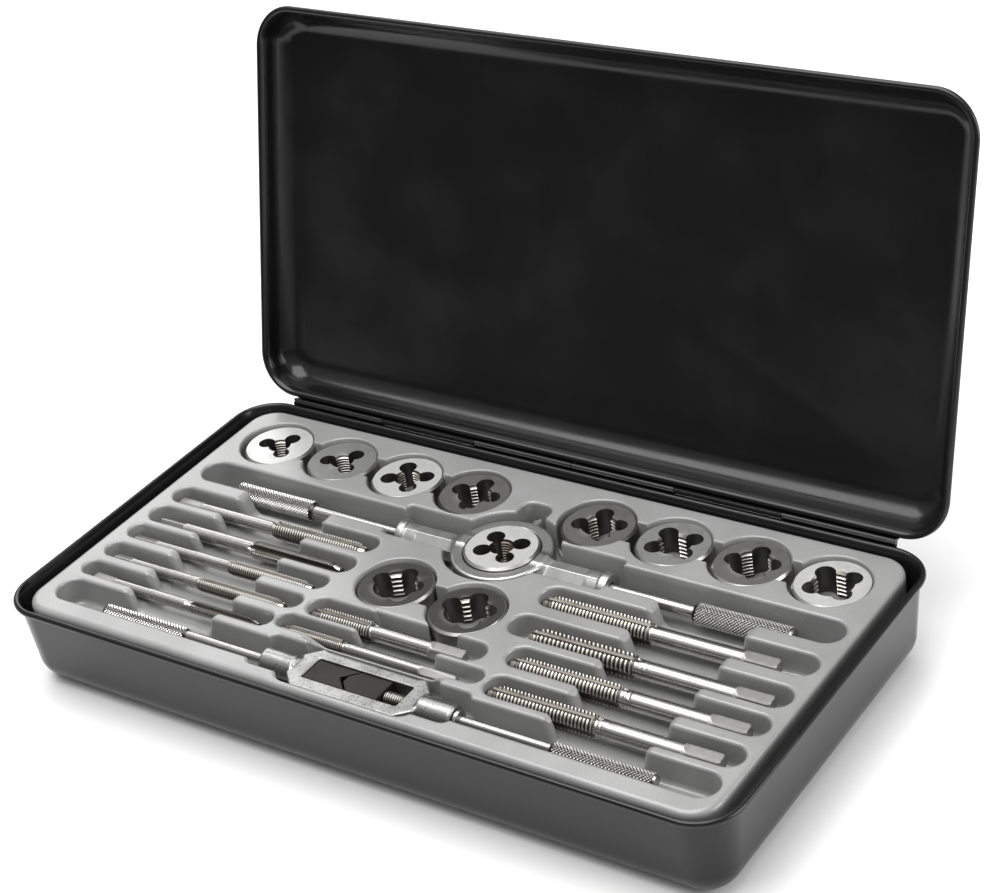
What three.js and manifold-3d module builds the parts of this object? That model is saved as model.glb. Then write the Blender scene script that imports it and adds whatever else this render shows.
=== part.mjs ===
// A hinged pressed-tin case whose moulded insert holds round dies, taps, a die stock and a tap wrench.
// Millimetres, +Z up, +X along the front, +Y towards the hinges.
// The origin is the centre of the case's underside.
import * as THREE from "three";
import { mergeVertices } from "three/addons/utils/BufferGeometryUtils.js";
import Module from "manifold-3d";

const wasm = await Module();
wasm.setup();

// Clearances
const looseGap = 0.3;
const overrun = 4;
const sliverWidth = 0.02;

// Round dies
const dieDiameter = 25.4;
const dieThickness = 9.5;
const dieChamfer = 1.1;
const dieSpacing = 2.6;
const dieSideGap = 1.2;
const dieTopDepth = 1;
const dieShiftX = 0.7;
const dieShiftY = 0.4;
const dieDimpleDiameter = 2.4;
const dieDimpleDepth = 1.3;

// Insert
const rowGap = 21;
const insertMargin = 5.9;
const insertDepth = 132.2;
const insertCornerRadius = 10;
const insertEdgeRadius = 2;
const insertWall = 1;
const insertRise = 0.2;
const mouthChamfer = 1;
const diePassageWidth = 14;

// Case
const caseSideGap = 5.6;
const caseFrontGap = 3.3;
const rimCornerRadius = 14;
const beadRadius = 1.1;
const beadStartDegrees = -130;
const beadEndDegrees = 140;
const tinThickness = 0.8;
const baseRimHeight = 31.3;
const baseEdgeRadius = 10;
const baseWallInset = 0.7;
const baseWallLeanDepth = 1.8;
const lidRimToTop = 11.5;
const lidEdgeRadius = 8;
const lidWallLeanDepth = 0.5;
const lidOpenDegrees = 104.94;

// Hinges
const hingeSetback = 2.3;
const hingeDrop = 1;
const hingeWidth = 118.8;
const knuckleRadius = 1.1;
const pinRadius = 0.5;
const leafThickness = 0.5;
const leafReach = 11;
const lidLeafReach = 7;
const leafBend = 4;
const lidLeafBend = 2.2;
const leafSlant = 2.6;
const hingeSpanShare = 0.2224;

// Die stock
const stockTopDepth = 1.6;
const stockRingHeight = 10;
const stockRingWall = 4;
const stockLedge = 1.4;
const stockLedgeHeight = 1.2;
const stockArmFlats = 9.4;
const stockCollarDiameter = 11.2;
const stockCollarLength = 7.5;
const stockArmReach = 40.8;
const stockSocketDepth = 6;
const stockRodDiameter = 4.6;
const stockGripDiameter = 7.1;
const stockGripLength = 34;
const stockLeftRodLength = 36.5;
const stockRightRodLength = 30.5;
const stockGripChamfer = 0.8;
const stockPocketWidth = 11.6;
const stockArmSideGap = 3.9;
const stockArmEndGap = 1.6;
const stockRingGap = 2.5;
const setScrewDiameter = 4;
const setScrewHeadDiameter = 5.4;
const setScrewHeadLength = 5;
const setScrewStandOff = 1;
const setScrewSlotWidth = 0.9;
const setScrewSlotDepth = 1.4;
const setScrewOffset = 0.8;
const setScrewRoomWidth = 11;
const setScrewRoomDepth = 2.6;

// Tap wrench
const wrenchTopDepth = 2;
const wrenchFrameLength = 48;
const wrenchFrameWidth = 19;
const wrenchFrameThickness = 5.6;
const wrenchFrameCorner = 4.6;
const wrenchWindowLength = 35.8;
const wrenchWindowWidth = 9.8;
const wrenchBossDiameter = 8.6;
const wrenchBossLength = 12;
const wrenchJawThickness = 5;
const wrenchFixedJawLength = 15.6;
const wrenchSlidingJawLength = 11.4;
const wrenchJawMouth = 4.6;
const wrenchJawGap = 0.7;
const wrenchJawNose = 3;
const wrenchScrewDiameter = 4.4;
const wrenchRodDiameter = 3.2;
const wrenchGripDiameter = 4.8;
const wrenchGripLength = 35;
const wrenchRodLength = 32;
const wrenchSocketDepth = 5;
const wrenchCollarDiameter = 6.4;
const wrenchCollarLength = 1.2;
const wrenchGripChamfer = 0.6;
const wrenchPocketWidth = 11.1;
const wrenchFrameGap = 1.4;
const wrenchFrameEndGap = 2.2;
const wrenchBossGap = 3.4;
const wrenchBossEndGap = 2.4;

// Taps
const tapAxisDepth = 4.6;
const tapSideGap = 1.3;
const tapTipLength = 4;
const tapNeckLength = 1.6;
const tapEndChamfer = 0.5;
const flatsShare = 0.76;
const tapTipShare = 0.62;
const fluteRadiusShare = 0.4;
const fluteReachShare = 0.94;
const fluteRunOutShare = 1.6;

// Finger troughs: ends as shares of half the insert's width
const troughNoseRadius = 2.5;
const troughSlope = 1.5;
const troughShares = {
  left: { left: -0.775, right: -0.474 },
  right: { left: 0.489, right: 0.775 },
  middle: { left: -0.125, right: 0.136 },
};
const ridgeSlope = 9;
const ridgeDrop = 3;
const ridgeEndShares = [-0.156, 0.14];

// Counts of facets
const roundFacets = 24;
const smallFacets = 12;
const fineFacets = 8;
const armFacets = 8;
const cornerFacets = 5;
const edgeFacets = 3;
const pocketFacets = 4;
const wellFacets = 6;

const diePitch = dieDiameter + dieSpacing;
const insertWidth = 8 * diePitch + rowGap + 2 * insertMargin;
const insertTopHeight = baseRimHeight + insertRise;
const rimWidth = insertWidth + 2 * caseSideGap;
const rimDepth = insertDepth + 2 * caseFrontGap;
const insertX = (share) => (share * insertWidth) / 2;
const insertY = (share) => (share * insertDepth) / 2;
const radians = THREE.MathUtils.degToRad;
const quarterTurn = 90;

// Places in the insert, as shares of half its width and half its depth from its centre
const dieRowShare = 0.711;
const stockPlaceShares = { x: 0.0195, y: 0.363, left: -0.955, right: 0.972 };
const wrenchPlaceShares = { x: 0, y: -0.794, left: -0.95, right: 0.97 };

// Chip holes of a die: how far their centres lie from its own, and their radius.
// A bore is a share of the die's radius.
const nearLobe = 5.5;
const farLobe = 6.4;
const smallLobe = 2.9;
const middleLobe = 3.1;
const largeLobe = 3.3;
const dies = [
  { row: "left", step: 0, bright: true, boreShare: 0.252, reach: nearLobe, lobe: smallLobe,
    degrees: [70, 185, 313] },
  { row: "left", step: 1, bright: false, boreShare: 0.26, reach: nearLobe, lobe: smallLobe,
    degrees: [65, 195, 320] },
  { row: "left", step: 2, bright: true, boreShare: 0.299, reach: farLobe, lobe: middleLobe,
    degrees: [24, 123, 207, 306] },
  { row: "left", step: 3, bright: false, boreShare: 0.378, reach: farLobe, lobe: middleLobe,
    degrees: [4, 90, 172, 282] },
  { row: "right", step: 0, bright: false, boreShare: 0.394, reach: farLobe, lobe: middleLobe,
    degrees: [20, 104, 194, 306] },
  { row: "right", step: 1, bright: false, boreShare: 0.378, reach: farLobe, lobe: largeLobe,
    degrees: [43, 135, 218, 325] },
  { row: "right", step: 2, bright: false, boreShare: 0.457, reach: farLobe, lobe: middleLobe,
    degrees: [14, 90, 180, 307] },
  { row: "right", step: 3, bright: true, boreShare: 0.457, reach: farLobe, lobe: largeLobe,
    degrees: [47, 137, 222, 321] },
  { xShare: -0.139, yShare: -0.105, bright: false, boreShare: 0.488, reach: farLobe, lobe: middleLobe,
    degrees: [14, 85, 169, 314] },
  { xShare: 0.089, yShare: -0.144, bright: false, boreShare: 0.488, reach: farLobe, lobe: largeLobe,
    degrees: [19, 90, 170, 308] },
];
const stockDie = { boreShare: 0.268, reach: farLobe, lobe: middleLobe, degrees: [36, 140, 219, 312] };

// Thread diameters of the taps
const finestThread = 4.4;
const fineThread = 4.6;
const smallThread = 4.9;
const mediumThread = 6.2;
const middleThread = 6.4;
const broadThread = 6.6;
const coarseThread = 7.2;
const coarsestThread = 7.8;

// Taps. The pocket's ends and line and the tap's tip and end are shares of half the insert's width or
// depth, the shank of the thread's diameter, and the threaded and squared lengths of the tap's length.
const taps = [
  { name: "left_1", leftShare: -0.955, rightShare: -0.28, yShare: 0.115,
    tipShare: -0.319, endShare: -0.943, thread: mediumThread, shankShare: 0.742, flutes: 3, turn: 130,
    threadedShare: 0.462, squareShare: 0.125, squareTurn: 0 },
  { name: "left_2", leftShare: -0.955, rightShare: -0.282, yShare: -0.075,
    tipShare: -0.327, endShare: -0.927, thread: middleThread, shankShare: 0.781, flutes: 3, turn: 75,
    threadedShare: 0.454, squareShare: 0.143, squareTurn: 35 },
  { name: "left_3", leftShare: -0.955, rightShare: -0.301, yShare: -0.249,
    tipShare: -0.35, endShare: -0.943, thread: smallThread, shankShare: 0.816, flutes: 3, turn: 135,
    threadedShare: 0.433, squareShare: 0.131, squareTurn: 20 },
  { name: "left_4", leftShare: -0.955, rightShare: -0.313, yShare: -0.426,
    tipShare: -0.37, endShare: -0.935, thread: smallThread, shankShare: 0.816, flutes: 3, turn: 130,
    threadedShare: 0.469, squareShare: 0.11, squareTurn: 20 },
  { name: "left_5", leftShare: -0.955, rightShare: -0.336, yShare: -0.601,
    tipShare: -0.381, endShare: -0.927, thread: fineThread, shankShare: 0.87, flutes: 3, turn: 95,
    threadedShare: 0.371, squareShare: 0.128, squareTurn: 0 },
  { name: "middle_1", leftShare: -0.288, rightShare: 0.234, yShare: -0.412,
    tipShare: -0.279, endShare: 0.172, thread: broadThread, shankShare: 0.818, flutes: 3, turn: 112,
    threadedShare: 0.38, squareShare: 0.207, squareTurn: 0 },
  { name: "middle_2", leftShare: -0.327, rightShare: 0.28, yShare: -0.566,
    tipShare: -0.318, endShare: 0.202, thread: finestThread, shankShare: 0.864, flutes: 3, turn: 112,
    threadedShare: 0.344, squareShare: 0.195, squareTurn: 40 },
  { name: "right_1", leftShare: 0.226, rightShare: 0.972, yShare: 0.098,
    tipShare: 0.235, endShare: 0.872, thread: coarsestThread, shankShare: 0.795, flutes: 3, turn: 110,
    threadedShare: 0.458, squareShare: 0.134, squareTurn: 0 },
  { name: "right_2", leftShare: 0.218, rightShare: 0.972, yShare: -0.147,
    tipShare: 0.276, endShare: 0.923, thread: coarsestThread, shankShare: 0.795, flutes: 3, turn: 115,
    threadedShare: 0.433, squareShare: 0.138, squareTurn: 0 },
  { name: "right_3", leftShare: 0.284, rightShare: 0.973, yShare: -0.362,
    tipShare: 0.293, endShare: 0.922, thread: coarseThread, shankShare: 0.861, flutes: 3, turn: 106,
    threadedShare: 0.458, squareShare: 0.149, squareTurn: 0 },
  { name: "right_4", leftShare: 0.296, rightShare: 0.973, yShare: -0.584,
    tipShare: 0.305, endShare: 0.918, thread: coarseThread, shankShare: 0.833, flutes: 3, turn: 112,
    threadedShare: 0.457, squareShare: 0.152, squareTurn: 0 },
];

// Materials
const blackTin = new THREE.MeshStandardMaterial({ color: 0x23241f, roughness: 0.28, metalness: 0.2 });
const greyPlastic = new THREE.MeshStandardMaterial({ color: 0x9fa09e, roughness: 0.38, metalness: 0 });
const darkSteel = new THREE.MeshStandardMaterial({ color: 0x4a4a4a, roughness: 0.38, metalness: 0.9 });
const brightSteel = new THREE.MeshStandardMaterial({ color: 0xc9c7c2, roughness: 0.3, metalness: 1 });
const castMetal = new THREE.MeshStandardMaterial({ color: 0xc4c4c2, roughness: 0.45, metalness: 0.85 });
const jawSteel = new THREE.MeshStandardMaterial({ color: 0x3d3836, roughness: 0.5, metalness: 0.8 });

// A closed geometry as a solid that can be joined and cut; a solid stays as it is.
function solid(shape) {
  if (!shape.isBufferGeometry) return shape;
  const bare = shape.index ? shape.toNonIndexed() : shape.clone();
  bare.deleteAttribute("normal");
  bare.deleteAttribute("uv");
  const merged = mergeVertices(bare);
  return new wasm.Manifold(
    new wasm.Mesh({
      numProp: 3,
      vertProperties: new Float32Array(merged.attributes.position.array),
      triVerts: new Uint32Array(merged.index.array),
    }),
  );
}

function join(shapes) {
  return shapes.map(solid).reduce((whole, piece) => whole.add(piece));
}

function cut(body, cutters) {
  return cutters.reduce((left, cutter) => left.subtract(solid(cutter)), solid(body));
}

// A shape as a named, flat-shaded mesh, with the slivers that cuts leave along an edge merged away.
function meshOf(name, shape, material) {
  const { vertProperties, triVerts } = solid(shape).getMesh();
  const geometry = new THREE.BufferGeometry();
  geometry.setAttribute("position", new THREE.BufferAttribute(new Float32Array(vertProperties), 3));
  geometry.setIndex(new THREE.BufferAttribute(new Uint32Array(triVerts), 1));
  const merged = mergeVertices(geometry, sliverWidth);
  const corners = Array.from(merged.index.array);
  const faces = corners.filter((_, i) => {
    const [a, b, c] = corners.slice(i - (i % 3), i - (i % 3) + 3);
    return a !== b && b !== c && c !== a;
  });
  merged.setIndex(faces);
  const flat = merged.toNonIndexed();
  flat.computeVertexNormals();
  const mesh = new THREE.Mesh(flat, material);
  mesh.name = name;
  return mesh;
}

// The outline of a rectangle with rounded corners, anticlockwise, with as many points at any size.
function roundedPoints({ left, right, front, back, radius }, facets = pocketFacets) {
  const round = Math.min(radius, (right - left) / 2, (back - front) / 2);
  const corners = [
    [right - round, back - round, 0],
    [left + round, back - round, Math.PI / 2],
    [left + round, front + round, Math.PI],
    [right - round, front + round, 1.5 * Math.PI],
  ];
  return corners.flatMap(([x, y, start]) =>
    Array.from({ length: facets + 1 }, (_, i) => {
      const angle = start + (i / facets) * (Math.PI / 2);
      return new THREE.Vector2(x + round * Math.cos(angle), y + round * Math.sin(angle));
    }),
  );
}

function grown(rectangle, margin) {
  return {
    left: rectangle.left - margin,
    right: rectangle.right + margin,
    front: rectangle.front - margin,
    back: rectangle.back + margin,
    radius: rectangle.radius + margin,
  };
}

function centredRectangle(x, y, width, depth, radius) {
  return { left: x - width / 2, right: x + width / 2, front: y - depth / 2, back: y + depth / 2, radius };
}

// An outline drawn out along +Z from the origin.
function extruded(points, depth) {
  return new THREE.ExtrudeGeometry(new THREE.Shape(points), { depth, bevelEnabled: false });
}

// An upright prism of an outline.
function prism(points, bottom, top) {
  return extruded(points, top - bottom).translate(0, 0, bottom);
}

// A prism whose outline lies in the YZ plane, from one X to another.
function crossPrism(points, left, right) {
  return extruded(points, right - left).rotateX(Math.PI / 2).rotateZ(Math.PI / 2).translate(left, 0, 0);
}

// A prism whose outline lies in the XZ plane, from one Y to another.
function longPrism(points, front, back) {
  return extruded(points, back - front).rotateX(Math.PI / 2).translate(0, back, 0);
}

function box(width, depth, height, x, y, z) {
  return new THREE.BoxGeometry(width, depth, height).translate(x, y, z);
}

// A body turned about the X axis, from points of distance along X and radius.
function turned(points, facets) {
  const profile = points.map(([along, radius]) => new THREE.Vector2(radius, along));
  return new THREE.LatheGeometry(profile, facets).rotateZ(-Math.PI / 2);
}

// The same shape turned half round the Z axis, to point the other way along X.
function mirrored(shape) {
  return shape.clone().rotateZ(Math.PI);
}

function rod(left, right, radius, facets = smallFacets) {
  return turned([[left, 0], [left, radius], [right, radius], [right, 0]], facets);
}

// A body turned about the Z axis, from points of radius and height.
function upright(points, facets) {
  const profile = points.map(([radius, z]) => new THREE.Vector2(radius, z));
  return new THREE.LatheGeometry(profile, facets).rotateX(Math.PI / 2);
}

// Rings of points joined into a closed skin, the first and last ring filled.
function loft(rings) {
  const count = rings[0].length;
  const positions = rings.flat().flatMap((point) => [point.x, point.y, point.z]);
  const faces = [];
  for (let level = 0; level + 1 < rings.length; level++) {
    for (let i = 0; i < count; i++) {
      const here = level * count + i;
      const next = level * count + ((i + 1) % count);
      faces.push(here, next, next + count, here, next + count, here + count);
    }
  }
  const end = rings[0].map((point) => new THREE.Vector2(point.x, point.y));
  const cap = THREE.ShapeUtils.triangulateShape(end, []);
  const last = (rings.length - 1) * count;
  cap.forEach(([a, b, c]) => faces.push(c, b, a));
  cap.forEach(([a, b, c]) => faces.push(last + a, last + b, last + c));
  const geometry = new THREE.BufferGeometry();
  geometry.setAttribute("position", new THREE.Float32BufferAttribute(positions, 3));
  geometry.setIndex(faces);
  return geometry;
}

function arcPoints(x, z, radius, from, to, steps) {
  return Array.from({ length: steps + 1 }, (_, i) => {
    const angle = radians(from + ((to - from) * i) / steps);
    return [x + radius * Math.cos(angle), z + radius * Math.sin(angle)];
  });
}

// A pressed tin pan with a round lower edge, leaning walls and a rolled bead round its rim.
// Its profile gives the distance out from the bead's centre line and the height above its underside.
function pan({ rimHeight, edgeRadius, leanDepth }) {
  const wallFoot = -baseWallInset - leanDepth;
  const edgeCentre = wallFoot - edgeRadius;
  const profile = [
    ...arcPoints(edgeCentre, edgeRadius, edgeRadius, -quarterTurn, 0, edgeFacets),
    ...arcPoints(0, rimHeight, beadRadius, beadStartDegrees, beadEndDegrees, 2 * edgeFacets),
    [-baseWallInset - tinThickness, rimHeight],
    ...arcPoints(edgeCentre, edgeRadius, edgeRadius - tinThickness, 0, -quarterTurn, edgeFacets),
  ];
  const rings = profile.map(([out, height]) => {
    const radius = Math.max(rimCornerRadius + out, tinThickness);
    const outline = centredRectangle(0, 0, rimWidth + 2 * out, rimDepth + 2 * out, radius);
    return roundedPoints(outline, cornerFacets).map((point) => new THREE.Vector3(point.x, point.y, height));
  });
  return loft(rings);
}

// Case
const basePan = { rimHeight: baseRimHeight, edgeRadius: baseEdgeRadius, leanDepth: baseWallLeanDepth };
const lidPan = { rimHeight: lidRimToTop, edgeRadius: lidEdgeRadius, leanDepth: lidWallLeanDepth };
const hingeY = rimDepth / 2 + hingeSetback;
const lidBeadHeight = baseRimHeight + 2 * beadRadius + looseGap;
const hingeZ = lidBeadHeight - hingeDrop;

function caseBase() {
  return meshOf("case_base", pan(basePan), blackTin);
}

// The lid is modelled shut, with the hinge's axis at its origin.
function caseLid() {
  const shut = pan(lidPan).rotateX(Math.PI).translate(0, -hingeY, lidBeadHeight + lidRimToTop - hingeZ);
  return meshOf("case_lid", shut, blackTin);
}

// The outline of a bent strip of even thickness along a line of points.
function stripPoints(line, thickness) {
  const side = (sign) =>
    line.map(([y, z], i) => {
      const [y0, z0] = line[Math.max(i - 1, 0)];
      const [y1, z1] = line[Math.min(i + 1, line.length - 1)];
      const length = Math.hypot(y1 - y0, z1 - z0);
      return new THREE.Vector2(y - (sign * thickness * (z1 - z0)) / length / 2,
        z + (sign * thickness * (y1 - y0)) / length / 2);
    });
  return [...side(1), ...side(-1).reverse()];
}

// How far a pan's wall lies in from the bead's centre line at a height above the pan's underside.
function wallInset({ rimHeight, edgeRadius, leanDepth }, height) {
  const lean = leanDepth * Math.min(Math.max((rimHeight - height) / (rimHeight - edgeRadius), 0), 1);
  const below = Math.max(edgeRadius - height, 0);
  return baseWallInset + lean + edgeRadius - Math.sqrt(edgeRadius ** 2 - below ** 2);
}

// One leaf of a hinge, round the axis at the origin: `up` is 1 for the lid's leaf and -1 for the base's.
function hingeLeaf(up, reach, bend, insetAt) {
  const wallAt = (z) => -hingeSetback - insetAt(z) + looseGap + leafThickness / 2;
  const near = up * (bend + leafSlant);
  const far = up * reach;
  const start = -knuckleRadius + leafThickness;
  const line = [[start, 0], [start, up * bend], [wallAt(near), near], [wallAt(far), far]];
  const strip = crossPrism(stripPoints(line, leafThickness), -hingeWidth / 2, hingeWidth / 2);
  const barrel = rod(-hingeWidth / 2, hingeWidth / 2, knuckleRadius);
  const third = hingeWidth / 3;
  const room = 2 * (knuckleRadius + looseGap);
  const gap = (width, x) => box(width, room, room, x, 0, 0);
  const ends = [-third, third].map((x) => gap(third + looseGap, x + (Math.sign(x) * looseGap) / 2));
  const middle = [gap(third + looseGap, 0)];
  const bore = rod(-hingeWidth, hingeWidth, pinRadius + looseGap);
  return cut(join([strip, barrel]), [...(up > 0 ? ends : middle), bore]);
}

function hinges(baseGroup, lidGroup) {
  ["left", "right"].forEach((side, i) => {
    const x = (i ? 1 : -1) * hingeSpanShare * rimWidth;
    const baseLeaf = meshOf(`hinge_${side}_base_leaf`,
      hingeLeaf(-1, leafReach, leafBend, (z) => wallInset(basePan, hingeZ + z)), blackTin);
    const pin = meshOf(`hinge_${side}_pin`, rod(-hingeWidth / 2, hingeWidth / 2, pinRadius), brightSteel);
    for (const mesh of [baseLeaf, pin]) {
      mesh.position.set(x, hingeY, hingeZ);
      baseGroup.add(mesh);
    }
    const lidTop = lidBeadHeight + lidRimToTop - hingeZ;
    const lidLeaf = meshOf(`hinge_${side}_lid_leaf`,
      hingeLeaf(1, lidLeafReach, lidLeafBend, (z) => wallInset(lidPan, lidTop - z)), blackTin);
    lidLeaf.position.x = x;
    lidGroup.add(lidLeaf);
  });
}

// Insert: every pocket is a rounded rectangle seen from above, with a floor at its own depth under the top.
const dieRadius = dieDiameter / 2;
const dieFloor = dieTopDepth + dieThickness + looseGap;
const stockAxisDepth = stockTopDepth + stockRingHeight / 2;
const stockFloor = stockAxisDepth + Math.max(stockRingHeight, stockCollarDiameter) / 2 + looseGap;
const wrenchAxisDepth = wrenchTopDepth + wrenchFrameThickness / 2;
const wrenchFloor = wrenchAxisDepth + wrenchBossDiameter / 2 + looseGap;
const stockX = insertX(stockPlaceShares.x);
const stockY = insertY(stockPlaceShares.y);
const wrenchX = insertX(wrenchPlaceShares.x);
const wrenchY = insertY(wrenchPlaceShares.y);
const stockRingRadius = dieRadius + looseGap + stockRingWall;

function diePlace(die) {
  if (die.row === undefined) return [insertX(die.xShare), insertY(die.yShare)];
  const along = rowGap / 2 + (die.row === "left" ? 3.5 - die.step : die.step + 0.5) * diePitch;
  return [die.row === "left" ? -along : along, insertY(dieRowShare)];
}

function tapPocket(tap) {
  const half = tap.thread / 2 + tapSideGap;
  const line = insertY(tap.yShare);
  return {
    left: insertX(tap.leftShare),
    right: insertX(tap.rightShare),
    front: line - half,
    back: line + half,
    radius: half,
    floor: tapAxisDepth + tap.thread / 2 + looseGap,
  };
}

function pocketOf(name) {
  return tapPocket(taps.find((tap) => tap.name === name));
}

function diePockets() {
  const room = dieDiameter + 2 * dieSideGap;
  const wells = dies.map((die) => {
    const [x, y] = diePlace(die);
    return { ...centredRectangle(x, y, room, room, room / 2), floor: dieFloor, facets: wellFacets };
  });
  const passages = dies.slice(0, -1).flatMap((die, i) => {
    const [x0, y0] = diePlace(die);
    const [x1, y1] = diePlace(dies[i + 1]);
    if (die.row !== dies[i + 1].row) return [];
    const y = (y0 + y1) / 2;
    return [{ left: x0, right: x1, front: y - diePassageWidth / 2, back: y + diePassageWidth / 2,
      radius: insertWall, floor: dieFloor }];
  });
  return [...wells, ...passages];
}

function stockPockets() {
  const slot = centredRectangle(stockX, stockY, insertWidth, stockPocketWidth, stockPocketWidth / 2);
  slot.left = insertX(stockPlaceShares.left);
  slot.right = insertX(stockPlaceShares.right);
  const armLength = 2 * (stockArmReach + stockArmEndGap);
  const armRoom = stockArmFlats + 2 * stockArmSideGap;
  const arms = centredRectangle(stockX, stockY, armLength, armRoom, stockArmEndGap);
  const ringRoom = 2 * (stockRingRadius + stockRingGap);
  const ring = centredRectangle(stockX, stockY, ringRoom, ringRoom, ringRoom / 2);
  const screwRoom = centredRectangle(stockX - setScrewOffset, stockY, setScrewRoomWidth, ringRoom,
    setScrewRoomWidth / 3);
  screwRoom.front = stockY;
  screwRoom.back = stockY + stockRingRadius + setScrewStandOff + setScrewHeadLength + setScrewRoomDepth;
  ring.facets = wellFacets;
  return [slot, arms, ring, screwRoom].map((outline) => ({ ...outline, floor: stockFloor }));
}

function wrenchPockets() {
  const slot = centredRectangle(wrenchX, wrenchY, insertWidth, wrenchPocketWidth, wrenchPocketWidth / 2);
  slot.left = insertX(wrenchPlaceShares.left);
  slot.right = insertX(wrenchPlaceShares.right);
  const bosses = centredRectangle(wrenchX, wrenchY,
    wrenchFrameLength + 2 * (wrenchBossLength + wrenchBossEndGap),
    wrenchBossDiameter + 2 * wrenchBossGap, wrenchBossGap);
  const frame = centredRectangle(wrenchX, wrenchY, wrenchFrameLength + 2 * wrenchFrameEndGap,
    wrenchFrameWidth + 2 * wrenchFrameGap, wrenchFrameCorner + wrenchFrameGap);
  return [slot, bosses, frame].map((outline) => ({ ...outline, floor: wrenchFloor }));
}

// A trough's outline in XZ up to a height, `margin` larger all round.
// Each of its ends has a round nose over a steep wall.
function troughPoints({ left, right }, floor, top, margin) {
  const nose = (x, side) => [
    [x, top],
    ...arcPoints(x, -troughNoseRadius, troughNoseRadius - margin,
      quarterTurn, quarterTurn - side * quarterTurn, edgeFacets),
    [x + side * (troughNoseRadius + troughSlope - margin), -floor - margin],
  ];
  const outline = [...nose(insertX(left), 1), ...nose(insertX(right), -1).reverse()];
  return outline.map(([x, z]) => new THREE.Vector2(x, z));
}

function insertTray() {
  const pockets = [...diePockets(), ...taps.map(tapPocket), ...stockPockets(), ...wrenchPockets()];
  const outer = centredRectangle(0, 0, insertWidth, insertDepth, insertCornerRadius);
  const skirtDrop = insertTopHeight - skirtFoot();
  const rim = (out, height) => roundedPoints(grown(outer, out), cornerFacets)
    .map((point) => new THREE.Vector3(point.x, point.y, height));
  const edge = (inset) =>
    arcPoints(-insertEdgeRadius, -insertEdgeRadius, insertEdgeRadius - inset, 0, quarterTurn, edgeFacets);
  const outside = edge(0).map(([out, height]) => rim(out, height));
  const inside = edge(insertWall).map(([out, height]) => rim(out, height));
  const shell = cut(loft([rim(0, -skirtDrop), ...outside]),
    [loft([rim(-insertWall, -skirtDrop - overrun), ...inside])]);
  const nearPocket = pocketOf("middle_1");
  const farPocket = pocketOf("middle_2");
  const farLine = (farPocket.front + farPocket.back) / 2;
  const troughEnds = [
    { ...troughShares.left, pocket: pocketOf("left_1"), from: stockY, to: wrenchY },
    { ...troughShares.right, pocket: pocketOf("right_1"), from: stockY, to: wrenchY },
    { ...troughShares.middle, pocket: nearPocket, from: nearPocket.back - tapSideGap, to: farLine },
  ];
  const troughs = (margin, top) => troughEnds.map((trough) => {
    const outline = troughPoints(trough, trough.pocket.floor, top, margin);
    return longPrism(outline, trough.to - margin, trough.from + margin);
  });
  const plateMiddle = -insertWall / 2;
  const cups = pockets.map((pocket) =>
    prism(roundedPoints(grown(pocket, insertWall)), -pocket.floor - insertWall, plateMiddle));
  const hollows = pockets.map((pocket) =>
    prism(roundedPoints(pocket, pocket.facets), -pocket.floor, overrun));
  const mouths = pockets.map((pocket) => {
    const shape = new THREE.Shape(roundedPoints(pocket, pocket.facets));
    return new THREE.ExtrudeGeometry(shape, { depth: overrun, bevelThickness: mouthChamfer,
      bevelSize: mouthChamfer, bevelSegments: 1 });
  });
  const ridgeLeft = insertX(ridgeEndShares[0]);
  const ridgeRight = insertX(ridgeEndShares[1]);
  const ridge = (below, top) => longPrism([
    [ridgeLeft - ridgeSlope, -below],
    [ridgeLeft, -ridgeDrop - below],
    [ridgeRight, -ridgeDrop - below],
    [ridgeRight + ridgeSlope, -below],
    [ridgeRight + ridgeSlope, top],
    [ridgeLeft - ridgeSlope, top],
  ].map(([x, z]) => new THREE.Vector2(x, z)), wrenchY + wrenchFrameWidth / 2, farLine);
  const under = [...cups, ...troughs(insertWall, plateMiddle), ridge(insertWall, plateMiddle)];
  const cutters = [...hollows, ...mouths, ...troughs(0, overrun), ridge(0, overrun)];
  const body = cut(join([shell, ...under]), cutters);
  const mesh = meshOf("insert_tray", body, greyPlastic);
  mesh.position.z = insertTopHeight;
  return mesh;
}

// The insert's skirt ends where it meets the leaning front and back walls, less the gap.
function skirtFoot() {
  const wanted = caseFrontGap - tinThickness - looseGap - baseWallInset;
  const share = Math.min(wanted / baseWallLeanDepth, 1);
  return baseRimHeight - share * (baseRimHeight - baseEdgeRadius);
}

// Dies
function dieBody({ boreShare, reach, lobe, degrees }) {
  const half = dieThickness / 2;
  const bore = boreShare * dieRadius;
  const blank = upright([[0, -half], [dieRadius - dieChamfer, -half], [dieRadius, dieChamfer - half],
    [dieRadius, half - dieChamfer], [dieRadius - dieChamfer, half], [0, half]], roundFacets);
  const through = (radius, x, y, facets) =>
    upright([[0, -dieThickness], [radius, -dieThickness], [radius, dieThickness], [0, dieThickness]],
      facets).translate(x, y, 0);
  const chipHoles = degrees.map((angle) =>
    through(lobe, reach * Math.cos(radians(angle)), reach * Math.sin(radians(angle)), fineFacets));
  const dimple = rod(dieRadius - dieDimpleDepth, dieRadius + overrun, dieDimpleDiameter / 2, fineFacets)
    .rotateZ(radians(degrees[0] + degrees[1]) / 2);
  return cut(blank, [through(bore, 0, 0, smallFacets), ...chipHoles, dimple]);
}

// The dies of the two rows lie a little to the right and back of their wells' centres.
function dieMeshes() {
  return dies.map((die, i) => {
    const [x, y] = diePlace(die);
    const shift = die.row === undefined ? 0 : 1;
    const mesh = meshOf(`die_${i + 1}`, dieBody(die), die.bright ? brightSteel : darkSteel);
    mesh.position.set(x + shift * dieShiftX, y + shift * dieShiftY,
      insertTopHeight - dieTopDepth - dieThickness / 2);
    return mesh;
  });
}

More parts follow.
